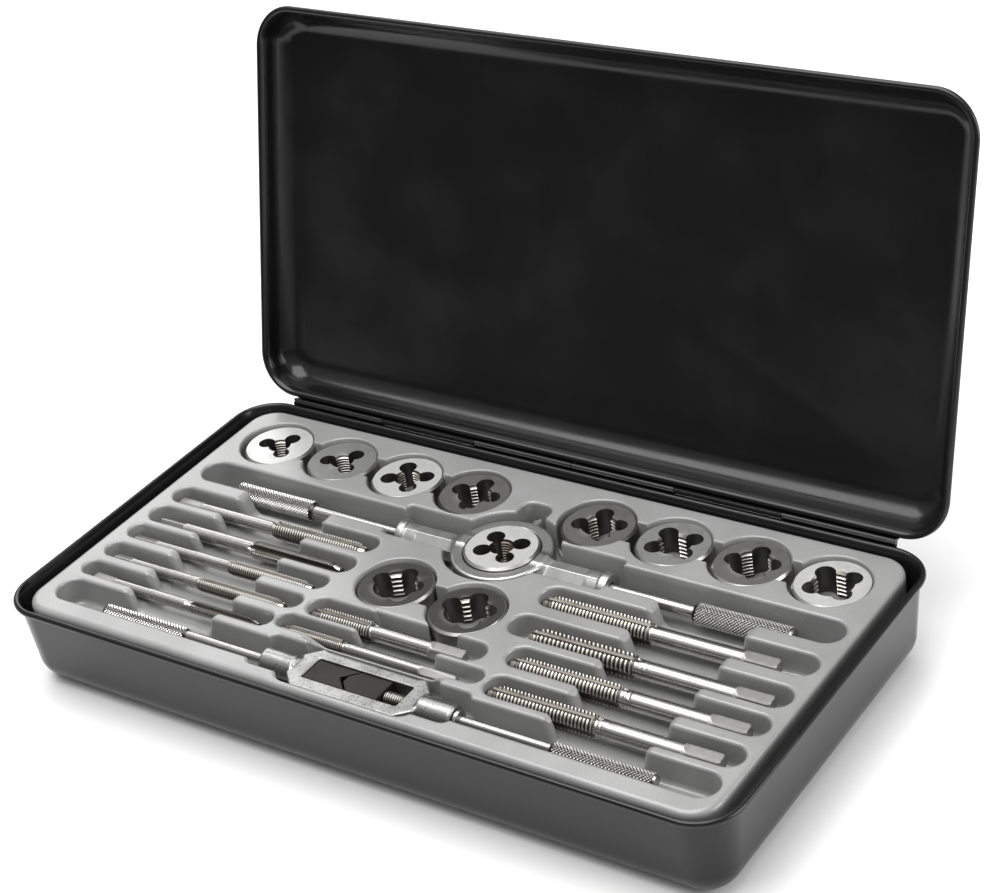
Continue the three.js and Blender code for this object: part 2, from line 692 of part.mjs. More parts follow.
// Taps: the tip is at the origin and the body runs back along +X.
function tapBody(tap, length) {
  const threadRadius = tap.thread / 2;
  const shankRadius = tap.shankShare * threadRadius;
  const threaded = tap.threadedShare * length;
  const squareStart = length - tap.squareShare * length;
  const body = turned([
    [0, 0],
    [0, tapTipShare * threadRadius],
    [tapTipLength, threadRadius],
    [threaded, threadRadius],
    [threaded + tapNeckLength, shankRadius],
    [squareStart, shankRadius],
    [squareStart, 0],
  ], smallFacets);
  const flats = flatsShare * 2 * shankRadius;
  const end = turned([[squareStart - tapNeckLength, 0], [squareStart - tapNeckLength, shankRadius],
    [length - tapEndChamfer, shankRadius], [length, shankRadius - tapEndChamfer], [length, 0]], smallFacets);
  const block = box(2 * length, flats, flats, length, 0, 0).rotateX(radians(tap.squareTurn));
  const square = solid(end).intersect(solid(block));
  const fluteRadius = fluteRadiusShare * threadRadius;
  const runOut = fluteRunOutShare * threadRadius;
  const reach = fluteReachShare * threadRadius;
  const flute = turned([[-overrun, 0], [-overrun, fluteRadius], [threaded, fluteRadius],
    [threaded + runOut, 0]], fineFacets).translate(0, 0, reach);
  const flutes = Array.from({ length: tap.flutes }, (_, i) =>
    flute.clone().rotateX(radians(tap.turn + (360 * i) / tap.flutes)));
  return cut(join([body, square]), flutes);
}

function tapMeshes() {
  return taps.map((tap) => {
    const tip = insertX(tap.tipShare);
    const end = insertX(tap.endShare);
    const mesh = meshOf(`tap_${tap.name}`, tapBody(tap, Math.abs(end - tip)), brightSteel);
    mesh.position.set(tip, insertY(tap.yShare), insertTopHeight - tapAxisDepth);
    mesh.rotation.z = tip > end ? Math.PI : 0;
    return mesh;
  });
}

// Die stock, round its ring's centre
function stockBody() {
  const half = stockRingHeight / 2;
  const bore = dieRadius + looseGap;
  const ringOutside = upright([[0, -half], [stockRingRadius, -half], [stockRingRadius, half],
    [0, half]], roundFacets);
  const ringBore = upright([[0, stockLedgeHeight - half], [bore, stockLedgeHeight - half],
    [bore, half + overrun], [0, half + overrun]], roundFacets);
  const ledgeHole = upright([[0, -half - overrun], [bore - stockLedge, -half - overrun],
    [bore - stockLedge, half], [0, half]], roundFacets);
  const armRadius = stockArmFlats / 2 / Math.cos(Math.PI / armFacets);
  const arm = rod(0, stockArmReach, armRadius, armFacets).rotateX(Math.PI / armFacets);
  const collar = rod(stockArmReach - stockCollarLength, stockArmReach, stockCollarDiameter / 2);
  const socketRadius = stockRodDiameter / 2 + looseGap;
  const socket = rod(stockArmReach - stockSocketDepth, stockArmReach + overrun, socketRadius);
  const screwHole = rod(bore - looseGap, stockRingRadius + overrun, setScrewDiameter / 2 + looseGap)
    .rotateZ(Math.PI / 2).translate(-setScrewOffset, 0, 0);
  return cut(join([ringOutside, arm, mirrored(arm), collar, mirrored(collar)]),
    [ringBore, ledgeHole, socket, mirrored(socket), screwHole]);
}

// A handle from its socket outwards along +X: a bare rod and a grip.
function handle(socketDepth, rodRadius, rodLength, gripRadius, gripLength, gripChamfer) {
  const gripStart = socketDepth + rodLength;
  const gripEnd = gripStart + gripLength;
  return turned([[looseGap, 0], [looseGap, rodRadius], [gripStart, rodRadius],
    [gripStart, gripRadius - gripChamfer], [gripStart + gripChamfer, gripRadius],
    [gripEnd - gripChamfer, gripRadius], [gripEnd, gripRadius - gripChamfer], [gripEnd, 0]], smallFacets);
}

// The set screw points at the die from behind, with a slotted head outside the ring.
function setScrewBody() {
  const tip = dieRadius + looseGap + stockRingWall / 4;
  const headStart = stockRingRadius + setScrewStandOff;
  const headEnd = headStart + setScrewHeadLength;
  const screw = turned([[tip, 0], [tip, setScrewDiameter / 2], [headStart, setScrewDiameter / 2],
    [headStart, setScrewHeadDiameter / 2], [headEnd, setScrewHeadDiameter / 2], [headEnd, 0]], smallFacets);
  const slot = box(2 * setScrewSlotDepth, setScrewSlotWidth, 2 * setScrewHeadDiameter, headEnd, 0, 0);
  return cut(screw.rotateZ(Math.PI / 2), [slot.rotateZ(Math.PI / 2)]);
}

function dieStock() {
  const group = new THREE.Group();
  group.position.set(stockX, stockY, insertTopHeight - stockAxisDepth);
  group.add(meshOf("stock_body", stockBody(), castMetal));
  const die = meshOf("stock_die", dieBody(stockDie), brightSteel);
  die.position.z = stockLedgeHeight + looseGap + (dieThickness - stockRingHeight) / 2;
  group.add(die);
  const sides = [["left", stockLeftRodLength, Math.PI], ["right", stockRightRodLength, 0]];
  sides.forEach(([side, length, turn]) => {
    const mesh = meshOf(`stock_handle_${side}`, handle(stockSocketDepth, stockRodDiameter / 2, length,
      stockGripDiameter / 2, stockGripLength, stockGripChamfer), brightSteel);
    mesh.position.x = Math.cos(turn) * (stockArmReach - stockSocketDepth);
    mesh.rotation.z = turn;
    group.add(mesh);
  });
  const screw = meshOf("stock_set_screw", setScrewBody(), brightSteel);
  screw.position.x = -setScrewOffset;
  group.add(screw);
  return group;
}

// Tap wrench, round its frame's centre
const windowEnd = wrenchWindowLength / 2;
const jawHalfWidth = wrenchWindowWidth / 2 - looseGap;
const fixedJawFace = -windowEnd + looseGap + wrenchFixedJawLength;
const slidingJawEnd = fixedJawFace + wrenchJawGap + wrenchSlidingJawLength;

function wrenchFrame() {
  const half = wrenchFrameThickness / 2;
  const corner = wrenchFrameCorner;
  const x = wrenchFrameLength / 2;
  const y = wrenchFrameWidth / 2;
  const corners = [[x, corner - y], [x, y - corner], [x - corner, y], [corner - x, y],
    [-x, y - corner], [-x, corner - y], [corner - x, -y], [x - corner, -y]];
  const outline = corners.map(([a, b]) => new THREE.Vector2(a, b));
  const window = box(wrenchWindowLength, wrenchWindowWidth, 2 * wrenchFrameThickness, 0, 0, 0);
  const bossEnd = x + wrenchBossLength;
  const boss = rod(windowEnd + looseGap, bossEnd, wrenchBossDiameter / 2);
  const socket = rod(bossEnd - wrenchSocketDepth, bossEnd + overrun, wrenchRodDiameter / 2 + looseGap);
  const screwBore = rod(0, bossEnd + overrun, wrenchScrewDiameter / 2 + looseGap);
  const body = join([prism(outline, -half, half), boss, mirrored(boss)]);
  return cut(body, [window, mirrored(socket), screwBore]);
}

// The fixed jaw's face is a vee, and the sliding jaw's blunt nose points into it.
function fixedJaw() {
  const back = -windowEnd + looseGap;
  const half = wrenchJawThickness / 2;
  const points = [[back, -jawHalfWidth], [fixedJawFace, -jawHalfWidth], [fixedJawFace - wrenchJawMouth, 0],
    [fixedJawFace, jawHalfWidth], [back, jawHalfWidth]];
  return prism(points.map(([x, y]) => new THREE.Vector2(x, y)), -half, half);
}

function slidingJaw() {
  const face = fixedJawFace + wrenchJawGap;
  const half = wrenchJawThickness / 2;
  const nose = wrenchJawNose / 2;
  const noseX = face - wrenchJawMouth * (1 - nose / jawHalfWidth);
  const points = [[face, -jawHalfWidth], [slidingJawEnd, -jawHalfWidth], [slidingJawEnd, jawHalfWidth],
    [face, jawHalfWidth], [noseX, nose], [noseX, -nose]];
  const body = prism(points.map(([x, y]) => new THREE.Vector2(x, y)), -half, half);
  return cut(body, [rod(slidingJawEnd - wrenchSocketDepth, slidingJawEnd + overrun,
    wrenchRodDiameter / 2 + looseGap)]);
}

// The screw handle: a pilot in the sliding jaw, the screw in the frame's boss, a collar, a rod and a grip.
function screwHandle() {
  const pilot = wrenchRodDiameter / 2;
  const screw = wrenchScrewDiameter / 2;
  const collar = wrenchCollarDiameter / 2;
  const grip = wrenchGripDiameter / 2;
  const pilotStart = slidingJawEnd - wrenchSocketDepth + looseGap;
  const screwStart = slidingJawEnd + looseGap;
  const screwEnd = wrenchFrameLength / 2 + wrenchBossLength + looseGap;
  const collarEnd = screwEnd + wrenchCollarLength;
  const gripStart = collarEnd + wrenchRodLength;
  const gripEnd = gripStart + wrenchGripLength;
  return turned([[pilotStart, 0], [pilotStart, pilot], [screwStart, pilot], [screwStart, screw],
    [screwEnd, screw], [screwEnd, collar], [collarEnd, collar], [collarEnd, pilot], [gripStart, pilot],
    [gripStart, grip - wrenchGripChamfer], [gripStart + wrenchGripChamfer, grip],
    [gripEnd - wrenchGripChamfer, grip], [gripEnd, grip - wrenchGripChamfer], [gripEnd, 0]], smallFacets);
}

function tapWrench() {
  const group = new THREE.Group();
  group.position.set(wrenchX, wrenchY, insertTopHeight - wrenchAxisDepth);
  group.add(meshOf("wrench_frame", wrenchFrame(), castMetal));
  group.add(meshOf("wrench_fixed_jaw", fixedJaw(), jawSteel));
  group.add(meshOf("wrench_sliding_jaw", slidingJaw(), jawSteel));
  group.add(meshOf("wrench_screw_handle", screwHandle(), brightSteel));
  const fixed = meshOf("wrench_fixed_handle", handle(wrenchSocketDepth, wrenchRodDiameter / 2,
    wrenchRodLength, wrenchGripDiameter / 2, wrenchGripLength, wrenchGripChamfer), brightSteel);
  fixed.position.x = wrenchSocketDepth - wrenchFrameLength / 2 - wrenchBossLength;
  fixed.rotation.z = Math.PI;
  group.add(fixed);
  return group;
}

const tapAndDieCase = new THREE.Group();
const lidGroup = new THREE.Group();
lidGroup.position.set(0, hingeY, hingeZ);
lidGroup.rotation.x = -radians(lidOpenDegrees);
lidGroup.add(caseLid());
tapAndDieCase.add(caseBase(), lidGroup, insertTray(), ...dieMeshes(), ...tapMeshes());
tapAndDieCase.add(dieStock(), tapWrench());
hinges(tapAndDieCase, lidGroup);

export default tapAndDieCase;
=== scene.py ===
"""Dressed model of a hinged tin case with taps, dies, a die stock and a tap wrench.

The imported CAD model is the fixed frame. Each class below makes the meshes of one sub-assembly in
millimetres, round that piece's own origin, and hangs them on the CAD body that carries them.
"""

import logging
import math
from dataclasses import dataclass
from enum import Enum
from functools import partial
from typing import Callable, ClassVar, Sequence

import bmesh
import bpy
import numpy as np
import openvdb
from mathutils import Matrix, Vector
from mathutils.geometry import delaunay_2d_cdt


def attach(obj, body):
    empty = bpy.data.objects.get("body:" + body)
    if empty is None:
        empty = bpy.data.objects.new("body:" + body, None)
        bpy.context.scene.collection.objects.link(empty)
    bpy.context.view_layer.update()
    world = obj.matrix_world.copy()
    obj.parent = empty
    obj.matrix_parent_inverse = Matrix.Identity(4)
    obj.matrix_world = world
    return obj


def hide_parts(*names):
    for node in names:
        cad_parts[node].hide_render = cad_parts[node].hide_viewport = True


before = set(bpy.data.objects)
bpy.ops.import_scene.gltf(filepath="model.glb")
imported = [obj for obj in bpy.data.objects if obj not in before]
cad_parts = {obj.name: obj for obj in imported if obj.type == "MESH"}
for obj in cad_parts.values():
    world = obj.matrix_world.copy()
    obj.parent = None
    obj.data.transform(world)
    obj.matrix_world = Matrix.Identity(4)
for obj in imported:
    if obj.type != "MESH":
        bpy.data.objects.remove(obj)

log = logging.getLogger("tap_and_die_case")

Grid = np.ndarray
Colour = tuple[float, float, float]
Point = tuple[float, float, float]
Finish = bpy.types.Material
Piece = bpy.types.Object

MM = 0.001
TRAY_TOP = 31.5
FULL_TURN = 2 * math.pi
QUARTER_TURN = math.pi / 2
ROOT_TWO = math.sqrt(2)


def moved(x: float = 0.0, y: float = 0.0, z: float = 0.0) -> Matrix:
    """A shift."""
    return Matrix.Translation((x, y, z))


def turned(angle: float, axis: str = "Z") -> Matrix:
    """A turn by an angle in radians about an axis through the origin."""
    return Matrix.Rotation(angle, 4, axis)


# Shapes given by a distance: below zero inside, above zero outside


def both(a: Grid, b: Grid, radius: float) -> Grid:
    """Where two shapes overlap, with a rounded edge between them.

    Args:
        a: Distance to the first shape.
        b: Distance to the second shape.
        radius: Radius of the edge.

    Returns:
        Distance to the overlap.
    """
    corner = np.hypot(np.maximum(radius + a, 0), np.maximum(radius + b, 0))
    return np.minimum(-radius, np.maximum(a, b)) + corner


def either(a: Grid, b: Grid, radius: float) -> Grid:
    """Two shapes joined, with a fillet between them.

    Args:
        a: Distance to the first shape.
        b: Distance to the second shape.
        radius: Radius of the fillet.

    Returns:
        Distance to the join.
    """
    corner = np.hypot(np.maximum(radius - a, 0), np.maximum(radius - b, 0))
    return np.maximum(radius, np.minimum(a, b)) - corner


def between(along: Grid, low: float, high: float) -> Grid:
    """Distance to the space between two flat ends."""
    return np.abs(along - (low + high) / 2) - (high - low) / 2


def rounded_box(x: Grid, y: Grid, half_x: float, half_y: float, radius: float) -> Grid:
    """A rectangle with round corners, round the origin.

    Args:
        x: Place across.
        y: Place along.
        half_x: Half of the width.
        half_y: Half of the depth.
        radius: Radius of the corners.

    Returns:
        Distance to the outline.
    """
    a = np.abs(x) - (half_x - radius)
    b = np.abs(y) - (half_y - radius)
    return np.hypot(np.maximum(a, 0), np.maximum(b, 0)) + np.minimum(np.maximum(a, b), 0) - radius


# Meshes


class Draft:
    """Points and faces of one piece, in millimetres round its own origin."""

    WELD_REACH: ClassVar[float] = 2e-6

    def __init__(self) -> None:
        """Starts with nothing."""
        self.total = 0
        self.places: list[Grid] = []
        self.wear_and_highlight: list[Grid] = []
        self.faces: list[tuple[Grid, Grid]] = []
        self.normals: Grid | None = None

    def points(self, places: Grid, wear_and_highlight: Grid | float = 0.0) -> Grid:
        """Adds points.

        Args:
            places: Coordinates, with three in the last direction.
            wear_and_highlight: How light each point is painted, 0 to 1: partly worn bright by use,
                partly a painted highlight.

        Returns:
            The points' numbers, in the shape of the places.
        """
        shape = places.shape[:-1]
        count = int(np.prod(shape))
        self.places.append(places.reshape(-1, 3))
        self.wear_and_highlight.append(np.broadcast_to(np.asarray(wear_and_highlight, float), shape).reshape(-1))
        self.total += count
        return np.arange(self.total - count, self.total).reshape(shape)

    def add(self, faces: Grid, finish: Grid | int = 0) -> None:
        """Adds faces that have the same number of corners.

        Args:
            faces: Numbers of the corners, one row for each face.
            finish: Which of the piece's finishes they have.
        """
        faces = np.asarray(faces, int)
        self.faces.append((faces, np.broadcast_to(np.asarray(finish, int), faces.shape[:1])))

    def quads(self, numbers: Grid, finish: int = 0) -> None:
        """Joins rows of points into a tube of four-sided faces.

        Args:
            numbers: The points' numbers, one row for each ring.
            finish: Their finish.
        """
        ahead = np.roll(numbers, -1, axis=1)
        faces = np.stack([numbers[:-1], ahead[:-1], ahead[1:], numbers[1:]], axis=-1)
        self.add(faces.reshape(-1, 4), finish)

    def tube(self, places: Grid) -> None:
        """Adds rings of points, the faces between them and a flat cap at each end.

        Args:
            places: Coordinates, one row for each ring.
        """
        numbers = self.points(places)
        self.quads(numbers)
        self.add(numbers[:1, ::-1])
        self.add(numbers[-1:])

    def _turn_outwards(self, places: Grid) -> None:
        """Turns every face over if the piece is inside out."""
        volume = 0.0
        for faces, _ in self.faces:
            corners = places[faces]
            for k in range(1, faces.shape[1] - 1):
                cross = np.cross(corners[:, k], corners[:, k + 1])
                volume += float(np.einsum("ij,ij->", corners[:, 0], cross))
        if volume < 0:
            self.faces = [(faces[:, ::-1], finish) for faces, finish in self.faces]

    def build(self, name: str, finishes: Sequence[Finish], crease: float = 32.0,
              weld: bool = False) -> Piece:
        """Makes the Blender object.

        Args:
            name: The object's name.
            finishes: Materials, in the order that the faces name them.
            crease: Edges that bend by more than these degrees stay sharp.
            weld: Joins points that lie on each other.

        Returns:
            The object, with its mesh in metres.
        """
        places = np.concatenate(self.places)
        self._turn_outwards(places)
        corners = np.concatenate([faces.reshape(-1) for faces, _ in self.faces])
        sizes = np.concatenate([np.full(len(f), f.shape[1]) for f, _ in self.faces])
        mesh = bpy.data.meshes.new(name)
        mesh.vertices.add(len(places))
        mesh.vertices.foreach_set("co", (places * MM).astype(np.float32).reshape(-1))
        mesh.loops.add(len(corners))
        mesh.loops.foreach_set("vertex_index", corners.astype(np.int32))
        mesh.polygons.add(len(sizes))
        mesh.polygons.foreach_set("loop_start", (np.cumsum(sizes) - sizes).astype(np.int32))
        chosen = np.concatenate([finish for _, finish in self.faces])
        mesh.polygons.foreach_set("material_index", chosen.astype(np.int32))
        mesh.update(calc_edges=True)
        # This per-point value paints crests and peaks lighter in the steel materials: partly worn
        # bright by use, partly a painted highlight.
        rubbed = mesh.attributes.new("wear_and_highlight", "FLOAT", "POINT")
        rubbed.data.foreach_set("value", np.concatenate(self.wear_and_highlight).astype(np.float32))
        if weld:
            self._weld(mesh)
        mesh.validate()
        mesh.shade_smooth()
        if self.normals is not None:
            mesh.normals_split_custom_set_from_vertices(self.normals.tolist())
        else:
            mesh.set_sharp_from_angle(angle=math.radians(crease))
        for finish in finishes:
            mesh.materials.append(finish)
        piece = bpy.data.objects.new(name, mesh)
        bpy.context.scene.collection.objects.link(piece)
        return piece

    @staticmethod
    def _weld(mesh: bpy.types.Mesh) -> None:
        """Joins points that lie on each other and drops the faces that this closes up."""
        work = bmesh.new()
        work.from_mesh(mesh)
        bmesh.ops.remove_doubles(work, verts=work.verts, dist=Draft.WELD_REACH)
        work.to_mesh(mesh)
        work.free()


@dataclass
class Carving:
    """A piece whose surface is where a distance field is zero.

    Attributes:
        field: Gives the distance at x, y and z.
        low: Lowest corner of the space that holds the piece.
        high: Its highest corner.
        step: Spacing of the samples.
        thrift: How readily flat areas get larger faces, 0 to 1.
    """

    field: Callable[[Grid, Grid, Grid], Grid]
    low: Point
    high: Point
    step: float
    thrift: float = 0.0

    REACH: ClassVar[float] = 3.0
    NUDGE: ClassVar[float] = 0.02
    PASSES: ClassVar[int] = 3
    LEAST_SQUARED_SLOPE: ClassVar[float] = 0.05

    def _slope(self, places: Grid) -> Grid:
        """The field's direction of steepest rise at each place."""
        slope = np.empty_like(places)
        for axis in range(3):
            ahead, behind = places.copy(), places.copy()
            ahead[:, axis] += self.NUDGE
            behind[:, axis] -= self.NUDGE
            slope[:, axis] = self.field(*ahead.T) - self.field(*behind.T)
        return slope / (2 * self.NUDGE)

    def draft(self) -> Draft:
        """Finds the surface, and moves each of its points exactly onto it.

        Returns:
            The closed surface, with the field's own normals.
        """
        x, y, z = np.ix_(*(np.arange(a, b + self.step, self.step)
                           for a, b in zip(self.low, self.high)))
        band = self.REACH * self.step
        values = np.clip(self.field(x, y, z), -band, band).astype(np.float32)
        volume = openvdb.FloatGrid(band)
        volume.copyFromArray(np.ascontiguousarray(values))
        places, *polygons = volume.convertToPolygons(isovalue=0.0, adaptivity=self.thrift)
        places = places.astype(float) * self.step + np.array(self.low)
        for _ in range(self.PASSES):
            slope = self._slope(places)
            steep = np.maximum(np.einsum("ij,ij->i", slope, slope), self.LEAST_SQUARED_SLOPE)
            move = (self.field(*places.T) / steep)[:, None] * slope
            places -= np.clip(move, -self.step / 2, self.step / 2)
        made = Draft()
        made.points(places)
        for faces in polygons:
            if len(faces):
                made.add(faces)
        slope = self._slope(places)
        made.normals = slope / np.linalg.norm(slope, axis=1, keepdims=True).clip(1e-9)
        return made


class Lathe:
    """Rings of points round the X axis, with a radius of their own at each angle."""

    def __init__(self, columns: int) -> None:
        """Starts with no rings.

        Args:
            columns: Points in each ring.
        """
        self.columns = columns
        self.angles = np.arange(columns) * FULL_TURN / columns
        self.rings: list[Grid] = []
        self.wear_and_highlight: list[Grid] = []
        self.finish: list[int] = []
        self.knurled: list[int] = []

    def ring(self, x: Grid | float, radius: Grid | float, wear_and_highlight: Grid | float = 0.0,
             finish: int = 0, angles: Grid | None = None) -> None:
        """Adds a ring.

        Args:
            x: Place along the axis, one or one for each column.
            radius: Radius, one or one for each column.
            wear_and_highlight: How light it is painted: partly worn bright by use, partly a painted
                highlight.
            finish: Finish of the strip behind it.
            angles: Angles of its columns, where they aren't even.
        """
        angles = self.angles if angles is None else angles
        x, radius, wear_and_highlight = (np.broadcast_to(np.asarray(value, float), angles.shape)
                           for value in (x, radius, wear_and_highlight))
        self.rings.append(np.stack([x, radius * np.cos(angles), radius * np.sin(angles)], axis=-1))
        self.wear_and_highlight.append(wear_and_highlight)
        self.finish.append(finish)

    def rounded(self, profile: Sequence[tuple[float, float]]) -> None:
        """Adds a plain ring for each (x, radius) of a profile."""
        for x, radius in profile:
            self.ring(x, radius)

    def knurl(self, start: float, end: float, crest: float, depth: float, finish: int) -> None:
        """Adds a diamond knurl: peaks and valleys take turns along every ring.

        Args:
            start: Where it begins.
            end: Where it ends.
            crest: Radius of the peaks.
            depth: Depth of the valleys.
            finish: Its finish.
        """
        spacing = FULL_TURN * crest / self.columns
        count = 2 * round((end - start) / spacing / 2) + 1
        for row, x in enumerate(np.linspace(start, end, count)):
            # Peaks get the value 1 and valleys 0, so the peaks are painted lighter: partly worn
            # bright by use, partly a painted highlight.
            peak = (np.arange(self.columns) + row) % 2
            if row in (0, count - 1):
                self.ring(x, crest - depth, 0.0, finish)
            else:
                self.knurled.append(len(self.rings))
                self.ring(x, crest - depth * (1 - peak), peak, finish)

    def draft(self) -> Draft:
        """Joins the rings.

        Returns:
            A closed piece. A knurl's faces are split along its valleys.
        """
        made = Draft()
        places = np.array(self.rings)
        numbers = made.points(places, np.array(self.wear_and_highlight))
        knurled = set(self.knurled)
        for row in range(len(places) - 1):
            finish = self.finish[row + 1]
            if row in knurled or row + 1 in knurled:
                self._diamonds(made, numbers, row, finish)
            else:
                made.quads(numbers[row:row + 2], finish)
        made.add(numbers[:1, ::-1], self.finish[0])
        made.add(numbers[-1:], self.finish[-1])
        return made

    def _diamonds(self, made: Draft, numbers: Grid, row: int, finish: int) -> None:
        """Adds the strip behind one knurled ring, as triangles."""
        here, there = numbers[row], numbers[row + 1]
        here_next, there_next = np.roll(here, -1), np.roll(there, -1)
        first = self.knurled[0] - 1
        leaning = (np.arange(self.columns) + row - first) % 2 == 0
        for mask, corners in (
            (leaning, ((here, here_next, there_next), (here, there_next, there))),
            (~leaning, ((here, here_next, there), (here_next, there_next, there))),
        ):
            for triangle in corners:
                made.add(np.stack([side[mask] for side in triangle], axis=-1), finish)


# Shader nodes


class Wire:
    """An output socket that can be added, multiplied and so on like a number."""

    def __init__(self, bench: "Bench", socket: bpy.types.NodeSocket) -> None:
        """Holds a socket of a node tree.

        Args:
            bench: The tree that the socket is in.
            socket: The output socket.
        """
        self.bench = bench
        self.socket = socket

    def __add__(self, other: "Wire | float") -> "Wire":
        """This plus another value."""
        return self.bench.maths("ADD", self, other)

    def __sub__(self, other: "Wire | float") -> "Wire":
        """This less another value."""
        return self.bench.maths("SUBTRACT", self, other)

    def __rsub__(self, other: float) -> "Wire":
        """Another value less this."""
        return self.bench.maths("SUBTRACT", other, self)

    def __mul__(self, other: "Wire | float") -> "Wire":
        """This times another value."""
        return self.bench.maths("MULTIPLY", self, other)

    __radd__ = __add__
    __rmul__ = __mul__


class Bench:
    """The node tree of one material, or of the room."""

    def __init__(self, owner: Finish | bpy.types.World) -> None:
        """Starts an empty tree.

        Args:
            owner: What the tree belongs to.
        """
        owner.use_nodes = True
        self.owner = owner
        self.tree = owner.node_tree
        self.tree.nodes.clear()

    @classmethod
    def named(cls, name: str) -> "Bench":
        """The tree of a new material."""
        return cls(bpy.data.materials.new(name))

    def node(self, kind: str, settings: dict[str, object] | None = None,
             sockets: dict[str | int, object] | None = None, output: str | int = 0) -> Wire:
        """Adds a node.

        Args:
            kind: The node's type.
            settings: Its settings, which are set first. Stops are those of a ramp.
            sockets: A value or a wire for each of its sockets.
            output: Which of its outputs is wanted.

        Returns:
            That output.
        """
        made = self.tree.nodes.new(kind)
        for key, value in (settings or {}).items():
            if key == "stops":
                self._set_stops(made.color_ramp, value)
            else:
                setattr(made, key, value)
        for key, value in (sockets or {}).items():
            socket = made.inputs[key]
            if isinstance(value, Wire):
                self.tree.links.new(value.socket, socket)
            elif socket.type == "RGBA":
                socket.default_value = (*value, 1.0)
            else:
                socket.default_value = value
        return Wire(self, made.outputs[output])

    @staticmethod
    def _set_stops(ramp: bpy.types.ColorRamp, stops: Sequence[tuple[float, float]]) -> None:
        """Gives a ramp grey stops, each a place and a brightness."""
        while len(ramp.elements) < len(stops):
            ramp.elements.new(1.0)
        for element, (place, level) in zip(ramp.elements, stops):
            element.position = place
            element.color = (level, level, level, 1.0)

    def maths(self, operation: str, *values: Wire | float) -> Wire:
        """The result of one operation on numbers."""
        return self.node("ShaderNodeMath", {"operation": operation}, dict(enumerate(values)))

    def vector(self, operation: str, *values: Wire | Point, output: str = "Vector") -> Wire:
        """The result of one operation on vectors."""
        return self.node("ShaderNodeVectorMath", {"operation": operation},
                         dict(enumerate(values)), output)

    def blend(self, share: Wire | float, a: Wire | Colour, b: Wire | Colour) -> Wire:
        """A colour between two others."""
        return self.node("ShaderNodeMix", {"data_type": "RGBA"}, {0: share, 6: a, 7: b}, 2)

    def step(self, value: Wire, low: float, high: float) -> Wire:
        """0 below a value and 1 above another, with a smooth rise between them."""
        return self.node("ShaderNodeMapRange", {"interpolation_type": "SMOOTHSTEP"},
                         {"Value": value, "From Min": low, "From Max": high})

    def place(self) -> Wire:
        """Place on the piece, in metres from its own origin."""
        return self.node("ShaderNodeTexCoord", output="Object")

    def noise(self, place: Wire, size: float | Point, detail: float = 3.0,
              contrast: float = 0.5) -> Wire:
        """Irregular patches.

        Args:
            place: Where on the piece.
            size: Size of the patches in millimetres, one or one for each direction.
            detail: How many finer layers are added.
            contrast: How strong the finer layers are.

        Returns:
            Values round one half.
        """
        sizes = size if isinstance(size, tuple) else (size, size, size)
        scaled = self.node("ShaderNodeMapping", None,
                           {"Vector": place, "Scale": tuple(1 / (s * MM) for s in sizes)})
        return self.node("ShaderNodeTexNoise", None, {
            "Vector": scaled, "Scale": 1.0, "Detail": detail, "Roughness": contrast})

    def wear_and_highlight(self) -> Wire:
        """How light the mesh is painted at each point: partly worn bright by use, partly a painted
        highlight.
        """
        return self.node("ShaderNodeAttribute", {"attribute_name": "wear_and_highlight"}, output="Fac")

    def bump(self, height: Wire, distance: float, strength: float = 1.0) -> Wire:
        """A normal that follows a height.

        Args:
            height: Height, 0 to 1.
            distance: What 1 stands for, in millimetres.
            strength: Share of the effect.

        Returns:
            The normal.
        """
        return self.node("ShaderNodeBump", None,
                         {"Strength": strength, "Distance": distance * MM, "Height": height})

    def close(self, shader: Wire, end: str) -> None:
        """Wires a shader into a new node that ends the tree."""
        self.tree.links.new(shader.socket, self.tree.nodes.new(end).inputs["Surface"])

    def finish(self, sockets: dict[str | int, object]) -> Finish:
        """Closes the tree with a surface shader.

        Args:
            sockets: What goes into the shader.

        Returns:
            The material.
        """
        self.close(self.node("ShaderNodeBsdfPrincipled", None, sockets), "ShaderNodeOutputMaterial")
        return self.owner


class Grain(Enum):
    """Which way the tool marks of a steel surface run."""

    RINGS_ROUND_X = "turned about the X axis"
    ALONG_X = "drawn along the X axis"
    RINGS_ROUND_Z = "faced about the Z axis"
    NONE = "no direction"


@dataclass(frozen=True)
class Enamel:
    """Black stoved enamel on pressed tin."""

    name: str = "black_stoved_enamel"
    colour: Colour = (0.0042, 0.0042, 0.0045)
    dust: Colour = (0.01, 0.01, 0.0105)
    gloss: float = 0.16
    matt: float = 0.27
    sheen: float = 0.38
    cloud_size: float = 32.0
    peel_size: float = 1.6
    peel_height: float = 0.02
    speck_size: float = 0.5

    def make(self) -> Finish:
        """Builds the material."""
        bench = Bench.named(self.name)
        place = bench.place()
        cloud = bench.noise(place, self.cloud_size, 5.0, 0.6)
        peel = bench.noise(place, self.peel_size, 2.0, 0.4)
        speck = bench.step(bench.noise(place, self.speck_size, 4.0, 0.7), 0.63, 0.75)
        share = bench.step(cloud, 0.45, 0.75) * 0.35 + speck * 0.4
        return bench.finish({
            "Base Color": bench.blend(share, self.colour, self.dust),
            "Roughness": self.gloss + (self.matt - self.gloss) * bench.step(cloud, 0.3, 0.7),
            "Specular IOR Level": self.sheen,
            "Normal": bench.bump(peel, self.peel_height, 0.3),
        })


